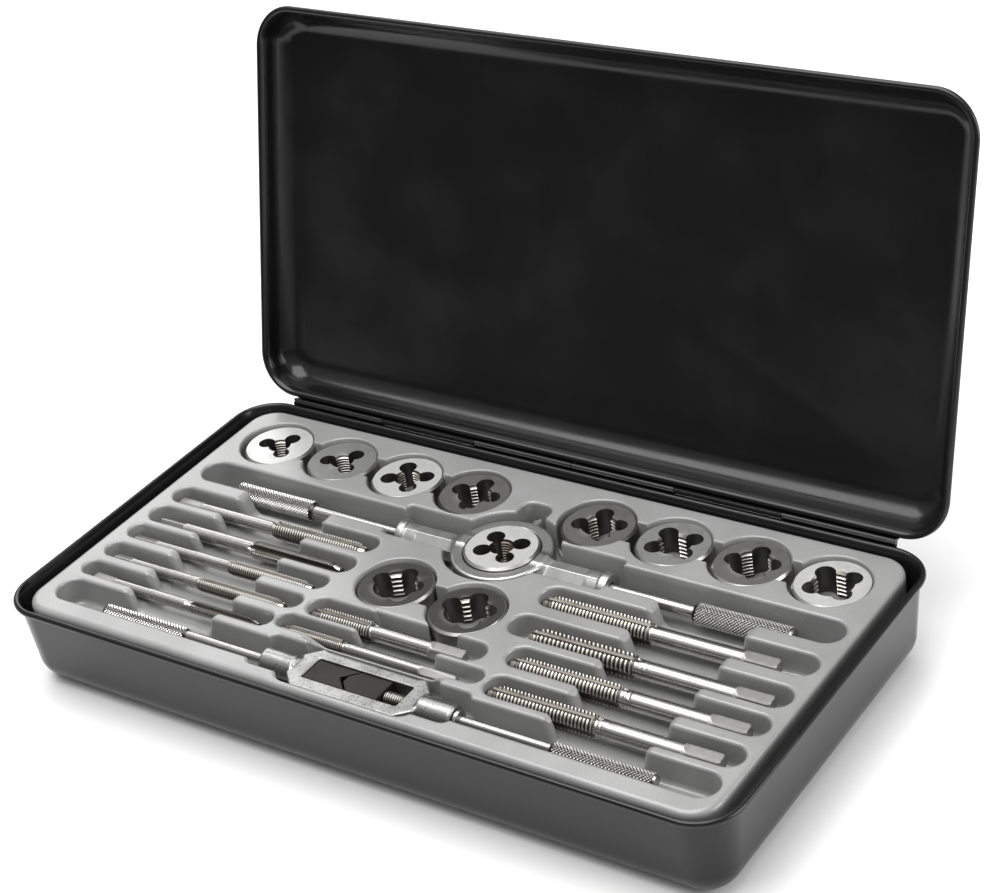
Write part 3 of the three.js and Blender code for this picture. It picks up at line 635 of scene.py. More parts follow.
@dataclass(frozen=True)
class MouldedPlastic:
    """Grey sheet plastic, drawn hot over a mould."""

    name: str = "grey_moulded_plastic"
    colour: Colour = (0.262, 0.262, 0.26)
    shade: Colour = (0.215, 0.215, 0.213)
    gloss: float = 0.2
    matt: float = 0.36
    sheen: float = 0.8
    cloud_size: float = 24.0
    skin_size: float = 0.28
    flow_size: Point = (18.0, 9.0, 14.0)
    flow_height: float = 0.2

    def make(self) -> Finish:
        """Builds the material."""
        bench = Bench.named(self.name)
        place = bench.place()
        cloud = bench.noise(place, self.cloud_size, 4.0, 0.55)
        skin = bench.noise(place, self.skin_size, 3.0, 0.6)
        flow = bench.noise(place, self.flow_size, 2.0, 0.4)
        return bench.finish({
            "Base Color": bench.blend(bench.step(cloud, 0.3, 0.75), self.colour, self.shade),
            "Roughness": self.gloss + (self.matt - self.gloss) * (0.6 * skin + 0.4 * cloud),
            "Specular IOR Level": self.sheen,
            "Normal": bench.bump(0.1 * skin + flow, self.flow_height, 0.6),
        })


@dataclass(frozen=True)
class Steel:
    """Machined steel, bright or blackened.

    Attributes:
        name: The material's name.
        colour: Colour of the bulk.
        groove: Colour in marks and valleys.
        worn: Colour on crests and peaks: partly worn bright by use, partly a painted highlight.
        smooth: Roughness where it is smoothest.
        rough: Roughness where it is roughest.
        grain: Direction of the tool marks.
        pitch: Spacing of the marks, in millimetres.
        metal: Share that reflects as bare metal.
        depth: Depth of the marks, in millimetres.
        keep: Share of the worn brightness and painted highlight that shows.
        rubbed: Level of the painted crest value at which the bright colour starts and is full.
        stain_size: Size of the stains, in millimetres.
    """

    name: str
    colour: Colour = (0.6, 0.59, 0.57)
    groove: Colour = (0.36, 0.35, 0.33)
    worn: Colour = (0.8, 0.79, 0.77)
    smooth: float = 0.2
    rough: float = 0.36
    grain: Grain = Grain.RINGS_ROUND_X
    pitch: float = 0.12
    metal: float = 1.0
    depth: float = 0.004
    keep: float = 1.0
    rubbed: tuple[float, float] = (0.25, 0.9)
    stain_size: float = 6.0

    MARK_LENGTH: ClassVar[float] = 60.0
    PATCH_WIDTH: ClassVar[float] = 4.0

    def _marks(self, bench: Bench, place: Wire) -> Wire:
        """Fine marks that run the way the tool went, with sizes that follow their pitch."""
        fine, long = self.pitch, self.MARK_LENGTH * self.pitch
        if self.grain is Grain.RINGS_ROUND_X:
            return bench.noise(place, (fine, long, long), 2.0)
        if self.grain is Grain.ALONG_X:
            return bench.noise(place, (long, fine, fine), 2.0)
        if self.grain is Grain.NONE:
            return bench.noise(place, self.PATCH_WIDTH * fine, 3.0)
        flat = bench.vector("MULTIPLY", place, (1.0, 1.0, 0.0))
        radius = bench.vector("LENGTH", flat, output="Value")
        rings = bench.node("ShaderNodeCombineXYZ", None, {"X": radius})
        return bench.noise(rings, fine, 2.0)

    def make(self) -> Finish:
        """Builds the material."""
        bench = Bench.named(self.name)
        place = bench.place()
        marks = self._marks(bench, place)
        stain = bench.step(bench.noise(place, self.stain_size, 5.0, 0.62), 0.48, 0.72)
        body = bench.blend(0.45 * marks + 0.4 * stain, self.colour, self.groove)
        # Crests and peaks turn to the bright colour by the mesh's painted level: partly worn bright
        # by use, partly a painted highlight.
        rubbed = bench.step(bench.wear_and_highlight() + 0.25 * (marks - 0.5), *self.rubbed) * self.keep
        spread = 0.6 * bench.step(marks, 0.3, 0.7) + 0.4 * stain
        return bench.finish({
            "Base Color": bench.blend(rubbed, body, self.worn),
            "Metallic": self.metal,
            "Roughness": self.smooth + (self.rough - self.smooth) * spread,
            "Normal": bench.bump(marks, self.depth),
        })


@dataclass(frozen=True)
class Casting:
    """A die-cast part, tumbled to a satin silver.

    Attributes:
        name: The material's name.
        colour: Colour of the bulk.
        shade: Colour of the patches and the speckle.
        speckle: Size of the grains, in millimetres.
        relief: Height of the grains, in millimetres.
        strength: Share of the speckle that shows.
        cloud_size: Size of the larger patches, in millimetres.
    """

    name: str
    colour: Colour = (0.62, 0.62, 0.61)
    shade: Colour = (0.3, 0.3, 0.29)
    speckle: float = 0.35
    relief: float = 0.03
    strength: float = 0.5
    cloud_size: float = 7.0

    def make(self) -> Finish:
        """Builds the material."""
        bench = Bench.named(self.name)
        place = bench.place()
        grains = bench.noise(place, self.speckle, 4.0, 0.65)
        cloud = bench.noise(place, self.cloud_size, 4.0, 0.6)
        pits = bench.step(1 - grains, 0.5, 0.68)
        share = self.strength * pits + 0.35 * bench.step(cloud, 0.45, 0.7)
        return bench.finish({
            "Base Color": bench.blend(share, self.colour, self.shade),
            "Metallic": 0.95,
            "Roughness": 0.24 + 0.14 * cloud + 0.12 * pits,
            "Normal": bench.bump(grains + 0.8 * cloud, self.relief, 0.6),
        })


@dataclass(frozen=True)
class Board:
    """Plain board of one colour, for the studio."""

    name: str
    grey: float
    fibre_size: float = 1.5
    fibre_height: float = 0.02

    def make(self) -> Finish:
        """Builds the material."""
        bench = Bench.named(self.name)
        fibre = bench.noise(bench.place(), self.fibre_size)
        return bench.finish({
            "Base Color": (self.grey,) * 3,
            "Roughness": 0.75,
            "Specular IOR Level": 0.2,
            "Normal": bench.bump(fibre, self.fibre_height, 0.2),
        })


class Finishes:
    """Every material of the case and the tools, made once."""

    def __init__(self) -> None:
        """Makes the materials."""
        self.enamel = Enamel().make()
        self.plastic = MouldedPlastic().make()
        face = partial(Steel, metal=0.5, grain=Grain.RINGS_ROUND_Z, smooth=0.36, rough=0.55)
        drawn = partial(Steel, grain=Grain.ALONG_X, depth=0.002)
        even = partial(Steel, grain=Grain.NONE)
        self.die_face_bright = face(
            "ground_die_face", (0.58, 0.58, 0.565), (0.38, 0.375, 0.36), pitch=0.16).make()
        self.die_face_mid = face(
            "grey_die_face", (0.26, 0.26, 0.252), (0.15, 0.148, 0.142), pitch=0.2, keep=0.5).make()
        self.die_face_dark = face(
            "dark_die_face", (0.15, 0.148, 0.142), (0.075, 0.073, 0.07), pitch=0.2, keep=0.4).make()
        self.die_face_black = face(
            "blackened_die_face", (0.05, 0.049, 0.046), (0.024, 0.023, 0.022), pitch=0.2,
            keep=0.3).make()
        self.die_rim_bright = Steel(
            "worn_die_rim", (0.55, 0.545, 0.53), (0.34, 0.33, 0.315), smooth=0.24, rough=0.42,
            grain=Grain.RINGS_ROUND_Z, pitch=0.3).make()
        self.die_rim_dark = even(
            "blackened_die_rim", (0.12, 0.118, 0.112), (0.055, 0.053, 0.05), (0.4, 0.39, 0.37),
            smooth=0.3, rough=0.45, metal=0.8, keep=0.6).make()
        # The thread materials are dark, with a bright colour for the crests: partly worn bright by
        # use, partly a painted highlight.
        self.die_thread = even(
            "cut_die_thread", (0.14, 0.132, 0.122), (0.06, 0.056, 0.052), (0.5, 0.485, 0.455),
            smooth=0.3, rough=0.46).make()
        self.die_thread_brown = even(
            "browned_die_thread", (0.045, 0.034, 0.028), (0.02, 0.016, 0.013),
            (0.2, 0.165, 0.135), smooth=0.3, rough=0.45, keep=0.6).make()
        self.tap_thread = even(
            "cut_tap_thread", (0.13, 0.118, 0.104), (0.065, 0.058, 0.051), (0.52, 0.5, 0.465),
            smooth=0.28, rough=0.42, rubbed=(0.3, 0.8)).make()
        self.tap_shank = drawn(
            "ground_tap_shank", (0.44, 0.435, 0.42), (0.24, 0.234, 0.225), pitch=0.35).make()
        self.tap_square = even(
            "matt_tap_square", (0.36, 0.355, 0.342), (0.23, 0.226, 0.216), smooth=0.4, rough=0.55,
            metal=0.8).make()
        self.rod = drawn(
            "turned_rod", (0.52, 0.515, 0.5), (0.26, 0.255, 0.245), smooth=0.16, rough=0.3,
            pitch=0.3).make()
        # The knurl's steel is near black, a painted shade in its grooves, and its peaks near white:
        # partly worn bright by use, partly a painted highlight.
        self.knurl = even(
            "knurled_grip_painted_shade_and_highlight", (0.06, 0.058, 0.055), (0.03, 0.029, 0.027), (0.97, 0.96, 0.94),
            smooth=0.22, depth=0.002, rubbed=(0.14, 0.56)).make()
        self.stock_casting = Casting(
            "satin_stock_casting", (0.5, 0.5, 0.49), (0.2, 0.2, 0.194), relief=0.02,
            strength=0.3).make()
        self.wrench_casting = Casting(
            "speckled_wrench_casting", (0.33, 0.33, 0.324), (0.09, 0.09, 0.087), speckle=0.5,
            relief=0.04, strength=0.8).make()
        self.jaw = even(
            "brown_jaw_steel", (0.016, 0.013, 0.0105), (0.008, 0.0065, 0.0055), smooth=0.45,
            rough=0.6, metal=0.5).make()
        self.hinge_pin = Steel(
            "hinge_pin_wire", (0.12, 0.118, 0.115), (0.06, 0.058, 0.055)).make()
        self.floor = Board("pale_board", 0.86).make()
        self.card = Board("dark_card", 0.1).make()


# Pieces


class Mount:
    """Hangs finished pieces on the frame and reports them."""

    @staticmethod
    def hang(piece: Piece, body: str, node: str, slot: str, place: Matrix) -> None:
        """Puts a piece where its CAD node is.

        Args:
            piece: The piece.
            body: CAD body that it rides on.
            node: CAD node that it stands for.
            slot: Material slot of the record. It is not used.
            place: Its place, with lengths in millimetres.
        """
        metres = place.copy()
        metres.translation = place.translation * MM
        if place.to_3x3() == Matrix.Identity(3):
            piece.matrix_world = metres
        else:
            piece.data.transform(metres)
        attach(piece, body)
        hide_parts(node)
        log.info("%s rides on %s for %s: %d faces", piece.name, body, node,
                 len(piece.data.polygons))


@dataclass
class TinPan:
    """A pressed pan with leaning walls, a round bottom edge and a rolled bead at its rim.

    Attributes:
        rim_height: Height of the bead's centre over the outer face.
        edge: Outer radius of the edge between wall and face.
        lean: How far the wall leans inwards towards the face.
        inset: How far the wall's outside lies inside the bead's centre.
        lip: How far under the bead's centre the inside of the wall begins.
    """

    rim_height: float
    edge: float
    lean: float
    half_width: float = 134.0
    half_depth: float = 69.4
    corner: float = 14.0
    bead: float = 1.085
    bead_start: float = -130.0
    bead_end: float = 140.0
    inset: float = 0.7
    tin: float = 0.8
    lip: float = 0.3

    CORNER_POINTS: ClassVar[int] = 20
    EDGE_POINTS: ClassVar[int] = 14
    BEAD_POINTS: ClassVar[int] = 28
    INSIDE_POINTS: ClassVar[int] = 12
    CREASE: ClassVar[float] = 50.0

    @staticmethod
    def _arc(out: float, height: float, radius: float, start: float, end: float,
             count: int) -> list[tuple[float, float]]:
        """Profile points (out, height) on an arc given in degrees."""
        turns = np.radians(np.linspace(start, end, count))
        return [(out + radius * math.cos(a), height + radius * math.sin(a)) for a in turns]

    def _profile(self) -> list[tuple[float, float]]:
        """The wall from the outer face, over the bead and down the inside."""
        out, edge = -self.inset - self.lean - self.edge, self.edge
        return [
            *self._arc(out, edge, edge, -90, 0, self.EDGE_POINTS),
            *self._arc(0, self.rim_height, self.bead, self.bead_start, self.bead_end,
                       self.BEAD_POINTS),
            (-self.inset - self.tin, self.rim_height - self.lip),
            *self._arc(out, edge, edge - self.tin, 0, -90, self.INSIDE_POINTS),
        ]

    def _outline(self, out: float) -> Grid:
        """The rounded rectangle that lies a given way outside the bead's centre line."""
        radius = max(self.corner + out, self.tin)
        across = self.half_width + out - radius
        along = self.half_depth + out - radius
        turns = np.radians(np.linspace(0, 90, self.CORNER_POINTS))
        points = []
        for quarter, (side, end) in enumerate([(1, 1), (-1, 1), (-1, -1), (1, -1)]):
            a = turns + quarter * QUARTER_TURN
            points.append(np.stack([side * across + radius * np.cos(a),
                                    end * along + radius * np.sin(a)], -1))
        return np.concatenate(points)

    def build(self, name: str, finish: Finish) -> Piece:
        """Makes the pan with its face down.

        Args:
            name: The piece's name.
            finish: Its material.

        Returns:
            The piece.
        """
        rings = []
        for out, height in self._profile():
            flat = self._outline(out)
            rings.append(np.column_stack([flat, np.full(len(flat), height)]))
        draft = Draft()
        draft.tube(np.array(rings))
        return draft.build(name, [finish], self.CREASE)


@dataclass
class Leaf:
    """One leaf of a hinge: a folded strip whose ends or middle are rolled round the pin.

    Attributes:
        up: 1 where the strip goes up from the pin, -1 where it goes down.
        line: Bends of the strip's middle, as (y, z) from its free edge towards the pin.
        rolled: Thirds of the width that are rolled into a knuckle.
        gap: Clearance on either side of the gap between two knuckles.
        roll: Radius of the knuckle's middle.
    """

    up: int
    line: tuple[tuple[float, float], ...]
    rolled: tuple[int, ...]
    width: float = 118.8
    gap: float = 0.1
    roll: float = 0.84
    tin: float = 0.5

    # Bends beside the pin, as (y, z): towards a knuckle, and where a plain third stops short of it
    LEAD: ClassVar[tuple[tuple[float, float], ...]] = ((-0.6, -1.7), (-0.72, -0.9), (-0.81, -0.35))
    STOP: ClassVar[tuple[tuple[float, float], ...]] = ((-0.6, -1.7), (-0.6, -0.95))
    STOP_FRONT: ClassVar[tuple[float, float]] = (-0.85, -0.79)
    STOP_BACK: ClassVar[tuple[float, float]] = (-0.35, -1.1)
    ROLL_DEGREES: ClassVar[tuple[float, float]] = (180, -130)
    ROLL_POINTS: ClassVar[int] = 26

    def _strip(self, line: Sequence[tuple[float, float]]) -> Grid:
        """Outline of a strip of even thickness along a line."""
        middle = np.array(line)
        along = np.gradient(middle, axis=0)
        along /= np.linalg.norm(along, axis=1, keepdims=True)
        side = np.stack([-along[:, 1], along[:, 0]], -1) * self.tin / 2
        return np.concatenate([middle + side, (middle - side)[::-1]])

    def build(self, name: str, finish: Finish) -> Piece:
        """Makes the leaf round the pin's axis.

        Args:
            name: The piece's name.
            finish: Its material.

        Returns:
            The piece.
        """
        turns = np.radians(np.linspace(*self.ROLL_DEGREES, self.ROLL_POINTS))
        knuckle = [(self.roll * math.cos(a), -self.roll * math.sin(a)) for a in turns]
        rolled = self._strip([*self.line, *self.LEAD, *knuckle])
        plain = self._strip([*self.line, *self.STOP])
        half = len(plain) // 2
        front, back = sorted((half - 1, half), key=lambda k: plain[k][0])
        plain[front], plain[back] = self.STOP_FRONT, self.STOP_BACK
        draft = Draft()
        third = self.width / 3
        for k in range(3):
            outline = rolled if k in self.rolled else plain
            low, high = (k - 1.5) * third, (k - 0.5) * third
            inset = self.gap if k in self.rolled else 0.0
            ends = (low + inset * (k > 0), high - inset * (k < 2))
            draft.tube(np.array([[(x, y, -self.up * z) for y, z in outline] for x in ends]))
        return draft.build(name, [finish])


@dataclass
class TinCase:
    """The hinged tin: a base, a lid that stands open, and the hinges between them.

    Attributes:
        hinge_y: Place of the hinges' axis towards the back.
        hinge_x: How far each hinge's middle is to the side.
        open_degrees: How far the lid has swung from shut.
        lid_face_height: Height of the lid's outer face when it is shut.
    """

    hinge_y: float = 71.7
    hinge_z: float = 32.8
    hinge_x: float = 59.6
    open_degrees: float = 104.94
    lid_face_height: float = 45.3

    BASE: ClassVar[TinPan] = TinPan(rim_height=31.3, edge=10.0, lean=1.8)
    LID: ClassVar[TinPan] = TinPan(rim_height=11.24, edge=9.25, lean=0.5)
    LOW_LEAF: ClassVar[Leaf] = Leaf(
        -1, ((-3.253, -11.0), (-2.881, -6.6), (-0.62, -4.1), (-0.6, -3.6)), (0, 2))
    HIGH_LEAF: ClassVar[Leaf] = Leaf(
        1, ((-3.351, -7.0), (-2.956, -4.8), (-0.62, -2.3), (-0.6, -2.1)), (1,))

    def _axis(self) -> Matrix:
        """The hinges' axis, in the middle of the back."""
        return moved(0, self.hinge_y, self.hinge_z)

    def _swung(self) -> Matrix:
        """The axis after the lid has swung open."""
        return self._axis() @ turned(-math.radians(self.open_degrees), "X")

    def lid_place(self) -> Matrix:
        """Where the open lid is."""
        shut = moved(z=self.lid_face_height) @ turned(math.pi, "X")
        return self._swung() @ self._axis().inverted() @ shut

    def build(self, finishes: Finishes, mount: Mount) -> None:
        """Makes both pans and dresses the hinges, whose pins stay as their CAD nodes.

        Args:
            finishes: The materials.
            mount: Hangs the pieces.
        """
        tin = finishes.enamel
        mount.hang(self.BASE.build("tin_base", tin), "base", "case_base", "black_tin",
                   Matrix.Identity(4))
        mount.hang(self.LID.build("tin_lid", tin), "lid", "case_lid", "black_tin",
                   self.lid_place())
        for side, x in (("left", -self.hinge_x), ("right", self.hinge_x)):
            mount.hang(self.LOW_LEAF.build(f"hinge_leaf_low_{side}", tin), "base",
                       f"hinge_{side}_base_leaf", "black_tin", moved(x) @ self._axis())
            mount.hang(self.HIGH_LEAF.build(f"hinge_leaf_high_{side}", tin), "lid",
                       f"hinge_{side}_lid_leaf", "black_tin", moved(x) @ self._swung())
            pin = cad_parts[f"hinge_{side}_pin"]
            pin.data.materials.clear()
            pin.data.materials.append(finishes.hinge_pin)
            log.info("%s stays as its CAD node", pin.name)


@dataclass(frozen=True)
class Pocket:
    """One hollow of the tray, seen from above: a rounded rectangle with a flat floor."""

    left: float
    right: float
    front: float
    back: float
    radius: float
    floor: float

    @classmethod
    def at(cls, x: float, y: float, half_x: float, half_y: float, radius: float,
           floor: float) -> "Pocket":
        """A pocket round a middle."""
        return cls(x - half_x, x + half_x, y - half_y, y + half_y, radius, floor)

    def edge(self, x: Grid, y: Grid) -> Grid:
        """Distance to the outline at x and y."""
        across, along = (self.left + self.right) / 2, (self.front + self.back) / 2
        return rounded_box(x - across, y - along, (self.right - self.left) / 2,
                           (self.back - self.front) / 2, self.radius)


@dataclass(frozen=True)
class Trough:
    """A finger trough across several pockets, with a round nose over each leaning end."""

    left: float
    right: float
    front: float
    back: float
    floor: float
    nose: float = 2.5
    lean: float = 1.5
    foot: float = 1.6

    def air(self, x: Grid, y: Grid, height: Grid) -> Grid:
        """Distance to the trough's hollow, at a height below the tray's top."""
        slope = self.lean / (self.floor - self.nose)
        inset = self.nose * (math.sqrt(1 + slope * slope) - slope)
        half = (self.right - self.left) / 2 - inset
        out = np.abs(x - (self.left + self.right) / 2) - half
        ends = (out - slope * height) / math.hypot(1, slope)
        sides = between(y, self.front, self.back)
        return both(np.maximum(ends, sides), -self.floor - height, self.foot)


@dataclass(frozen=True)
class TapSize:
    """Sizes of one tap, its place and its pocket, in millimetres and degrees.

    Attributes:
        name: Which tap it is.
        line: Place of its axis, front to back.
        tip: Where its tip is, left to right.
        end: Where its end is.
        thread: Outer diameter of the thread.
        shank: Diameter of the shank.
        threaded: Length of the thread.
        square: Length of the square.
        turn: Turn of the first flute.
        square_turn: Turn of the square.
        pocket: Ends of its pocket.
        pitch: Pitch of the thread.
        flutes: How many flutes it has.
    """

    name: str
    line: float
    tip: float
    end: float
    thread: float
    shank: float
    threaded: float
    square: float
    turn: float
    square_turn: float
    pocket: tuple[float, float]
    pitch: float
    flutes: int = 3

    @property
    def length(self) -> float:
        """Length from tip to end."""
        return abs(self.end - self.tip)


TAPS = (
    TapSize("left_1", 7.60, -40.96, -121.08, 6.2, 4.6, 37.0, 10.0,
            130, 0, (-122.62, -35.95), 1.0),
    TapSize("left_2", -4.96, -41.99, -119.03, 6.4, 5.0, 35.0, 11.0,
            75, 35, (-122.62, -36.21), 1.0),
    TapSize("left_3", -16.46, -44.94, -121.08, 4.9, 4.0, 33.0, 10.0,
            135, 20, (-122.62, -38.65), 0.9),
    TapSize("left_4", -28.16, -47.51, -120.05, 4.9, 4.0, 34.0, 8.0,
            130, 20, (-122.62, -40.19), 0.8),
    TapSize("left_5", -39.73, -48.92, -119.03, 4.6, 4.0, 26.0, 9.0,
            95, 0, (-122.62, -43.14), 0.8),
    TapSize("middle_1", -27.23, -35.82, 22.08, 6.6, 5.4, 22.0, 12.0,
            112, 0, (-36.98, 30.05), 1.0),
    TapSize("middle_2", -37.41, -40.83, 25.94, 4.4, 3.8, 23.0, 13.0,
            112, 40, (-41.99, 35.95), 0.7),
    TapSize("right_1", 6.48, 30.17, 111.96, 7.8, 6.2, 37.5, 11.0,
            110, 0, (29.02, 124.80), 1.25),
    TapSize("right_2", -9.72, 35.44, 118.51, 7.8, 6.2, 36.0, 11.5,
            115, 0, (27.99, 124.80), 1.5),
    TapSize("right_3", -23.93, 37.62, 118.38, 7.2, 6.2, 37.0, 12.0,
            106, 0, (36.47, 124.93), 1.25),
    TapSize("right_4", -38.60, 39.16, 117.87, 7.2, 6.0, 36.0, 12.0,
            112, 0, (38.01, 124.93), 1.25),
)

STOCK_PLACE = (2.504, 23.994, 24.9)
WRENCH_PLACE = (0.0, -52.483, 26.7)


@dataclass
class Tray:
    """The moulded insert, with a fitted hollow for every tool.

    Attributes:
        skirt: How far it reaches down.
        mouths: Radius of the pockets' upper edges, for each group of pockets.
        foot: Radius between a pocket's wall and its floor.
        die_row: Where the dies of the row are on either side, from the middle.
        row_line: Place of the row of dies, front to back.
        front_wells: Middles of the two wells in front of the stock.
        gate: Front and back of the gates in the row.
        front_gate: Front and back of the gate between the front wells.
        beside_tap: Clearance beside a tap's thread.
        tap_floor: Depth of a tap's pocket under the thread's axis.
        ridge: Ends of the lowered ridge, left and right.
        ridge_sides: Its front and back.
        thrift: How readily flat areas get larger faces.
    """

    half_width: float = 128.4
    half_depth: float = 66.1
    corner: float = 10.0
    top_edge: float = 2.0
    skirt: float = 17.95
    wall: float = 1.0
    mouths: tuple[float, ...] = (0.6, 1.0, 1.0, 1.05)
    foot: float = 1.6
    draft_angle: float = 1.0
    die_row: tuple[float, ...] = (24.5, 52.5, 80.5, 108.5)
    row_line: float = 47.0
    front_wells: tuple[tuple[float, float], ...] = ((-17.85, -6.94), (11.43, -9.52))
    well: float = 13.3
    die_floor: float = 10.8
    gate: tuple[float, float] = (41.5, 52.5)
    front_gate: tuple[float, float] = (-13.4, -3.06)
    gate_corner: float = 1.0
    beside_tap: float = 1.3
    tap_floor: float = 4.9
    ridge: tuple[float, float] = (-29.03, 26.98)
    ridge_sides: tuple[float, float] = (-43.5, -36.9)
    ridge_slope: float = 9.0
    ridge_drop: float = 3.0
    step: float = 0.5
    thrift: float = 0.012

    # Hollows by their ends and half width, or by half sizes and a corner radius
    STOCK_FLOOR: ClassVar[float] = 12.5
    STOCK_SLOT: ClassVar[Point] = (-122.63, 124.8, 5.8)
    STOCK_ARMS: ClassVar[Point] = (42.4, 8.6, 1.6)
    STOCK_RING: ClassVar[float] = 19.5
    SCREW_BAY: ClassVar[tuple[float, float, float, float]] = (-6.3, 4.7, 25.6, 3.67)
    WRENCH_FLOOR: ClassVar[float] = 9.4
    WRENCH_SLOT: ClassVar[Point] = (-121.98, 124.55, 5.55)
    WRENCH_BOSSES: ClassVar[Point] = (38.4, 7.7, 3.4)
    WRENCH_BODY: ClassVar[Point] = (26.2, 10.9, 6.0)
    TROUGHS: ClassVar[tuple[Trough, ...]] = (
        Trough(-99.51, -60.86, -52.48, 23.99, 8.0),
        Trough(62.79, 99.51, -52.48, 23.99, 8.8),
        Trough(-16.05, 17.46, -37.41, -22.63, 8.2),
    )
    SOFTENING: ClassVar[float] = 0.3
    LOW: ClassVar[Point] = (-130.2, -67.7, -19.2)
    HIGH: ClassVar[Point] = (130.2, 67.7, 1.2)

    def _wells(self) -> list[Pocket]:
        """The dies' round wells, and the gates between neighbours."""
        row = [(side * x, self.row_line) for side in (-1, 1) for x in self.die_row]
        wells = [Pocket.at(x, y, self.well, self.well, self.well, self.die_floor)
                 for x, y in (*row, *self.front_wells)]
        gates = [(side * x, side * following, self.gate)
                 for side in (-1, 1) for x, following in zip(self.die_row, self.die_row[1:])]
        gates.append((self.front_wells[0][0], self.front_wells[1][0], self.front_gate))
        return wells + [Pocket(min(a, b), max(a, b), *sides, self.gate_corner, self.die_floor)
                        for a, b, sides in gates]

    def _stock_pockets(self) -> list[Pocket]:
        """The die stock's hollow: its handles, its arms, its ring and its set screw."""
        x, y, _ = STOCK_PLACE
        left, right, half = self.STOCK_SLOT
        bay_left, bay_right, bay_back, bay_corner = self.SCREW_BAY
        return [Pocket(left, right, y - half, y + half, half, self.STOCK_FLOOR),
                Pocket.at(x, y, *self.STOCK_ARMS, self.STOCK_FLOOR),
                Pocket.at(x, y, *(self.STOCK_RING,) * 3, self.STOCK_FLOOR),
                Pocket(x + bay_left, x + bay_right, y, y + bay_back, bay_corner, self.STOCK_FLOOR)]

    def _wrench_pockets(self) -> list[Pocket]:
        """The wrench's hollow: its handles, its bosses and its frame."""
        x, y, _ = WRENCH_PLACE
        left, right, half = self.WRENCH_SLOT
        return [Pocket(left, right, y - half, y + half, half, self.WRENCH_FLOOR),
                Pocket.at(x, y, *self.WRENCH_BOSSES, self.WRENCH_FLOOR),
                Pocket.at(x, y, *self.WRENCH_BODY, self.WRENCH_FLOOR)]

    def _tap_pocket(self, tap: TapSize) -> Pocket:
        """The hollow of one tap."""
        half = tap.thread / 2 + self.beside_tap
        return Pocket(*tap.pocket, tap.line - half, tap.line + half, half,
                      self.tap_floor + tap.thread / 2)

    def _groups(self) -> list[list[Pocket]]:
        """Pockets that share a floor, or that lie well apart."""
        return [self._wells(), self._stock_pockets(), self._wrench_pockets(),
                [self._tap_pocket(tap) for tap in TAPS]]

    def _ridge_drop(self, x: Grid, y: Grid) -> Grid:
        """How far the ridge before the wrench is lowered."""
        (left, right), (front, back) = self.ridge, self.ridge_sides
        along = np.clip(np.minimum(x - left, right - x) / self.ridge_slope, 0, 1)
        across = np.clip(np.minimum(y - front, back - y), 0, 1)
        return self.ridge_drop * along * along * (3 - 2 * along) * across

    def _skin(self, x: Grid, y: Grid, height: Grid) -> Grid:
        """Distance to the tray's upper side, as if it were a solid block."""
        block = both(rounded_box(x, y, self.half_width, self.half_depth, self.corner),
                     height + self._ridge_drop(x, y), self.top_edge)
        depth = math.tan(math.radians(self.draft_angle)) * np.maximum(-height, 0)
        for group, mouth in zip(self._groups(), self.mouths):
            edge = np.full(np.broadcast(x, y).shape, np.inf)
            floor = np.zeros(edge.shape)
            for pocket in group:
                found = pocket.edge(x, y)
                floor = np.where(found < edge, pocket.floor, floor)
                edge = np.minimum(edge, found)
            block = both(block, -both(edge + depth, -floor - height, self.foot), mouth)
        for trough in self.TROUGHS:
            block = both(block, -trough.air(x, y, height), trough.nose - self.SOFTENING)
        return block

    def field(self, x: Grid, y: Grid, height: Grid) -> Grid:
        """Distance to the sheet, which is open underneath."""
        skin = self._skin(x, y, height)
        return np.maximum(np.maximum(skin, -skin - self.wall), -self.skirt - height)

    def build(self, finishes: Finishes, mount: Mount) -> None:
        """Makes the tray.

        Args:
            finishes: The materials.
            mount: Hangs the piece.
        """
        carving = Carving(self.field, self.LOW, self.HIGH, self.step, self.thrift)
        piece = carving.draft().build("moulded_tray", [finishes.plastic])
        mount.hang(piece, "tray", "insert_tray", "grey_plastic", moved(z=TRAY_TOP))


class Thread:
    """Shape of a vee thread, sampled only where it bends, in shares of its pitch."""

    ROOT: ClassVar[float] = 7 / 16
    BENDS: ClassVar[tuple[float, ...]] = (-1 / 16, 1 / 16, 7 / 16, 9 / 16)
    DEPTH_SHARE: ClassVar[float] = 0.6
    OVERRUN: ClassVar[float] = 0.7

    @staticmethod
    def crest(phase: Grid) -> Grid:
        """Height of the thread, 0 to 1, at a share of its pitch from a crest."""
        away = np.abs((phase + 0.5) % 1 - 0.5)
        return np.clip((Thread.ROOT - away) / (Thread.ROOT - Thread.BENDS[1]), 0, 1)

    @classmethod
    def stations(cls, start: float, end: float, pitch: float) -> Grid:
        """Places of the bends from half a pitch before the start to half a pitch past the end."""
        turns = np.arange(math.floor(start / pitch) - 2, math.ceil(end / pitch) + 3)
        places = np.sort((turns[:, None] + np.array(cls.BENDS)).reshape(-1) * pitch)
        beyond = cls.OVERRUN * pitch
        return places[(places > start - beyond) & (places < end + beyond)]


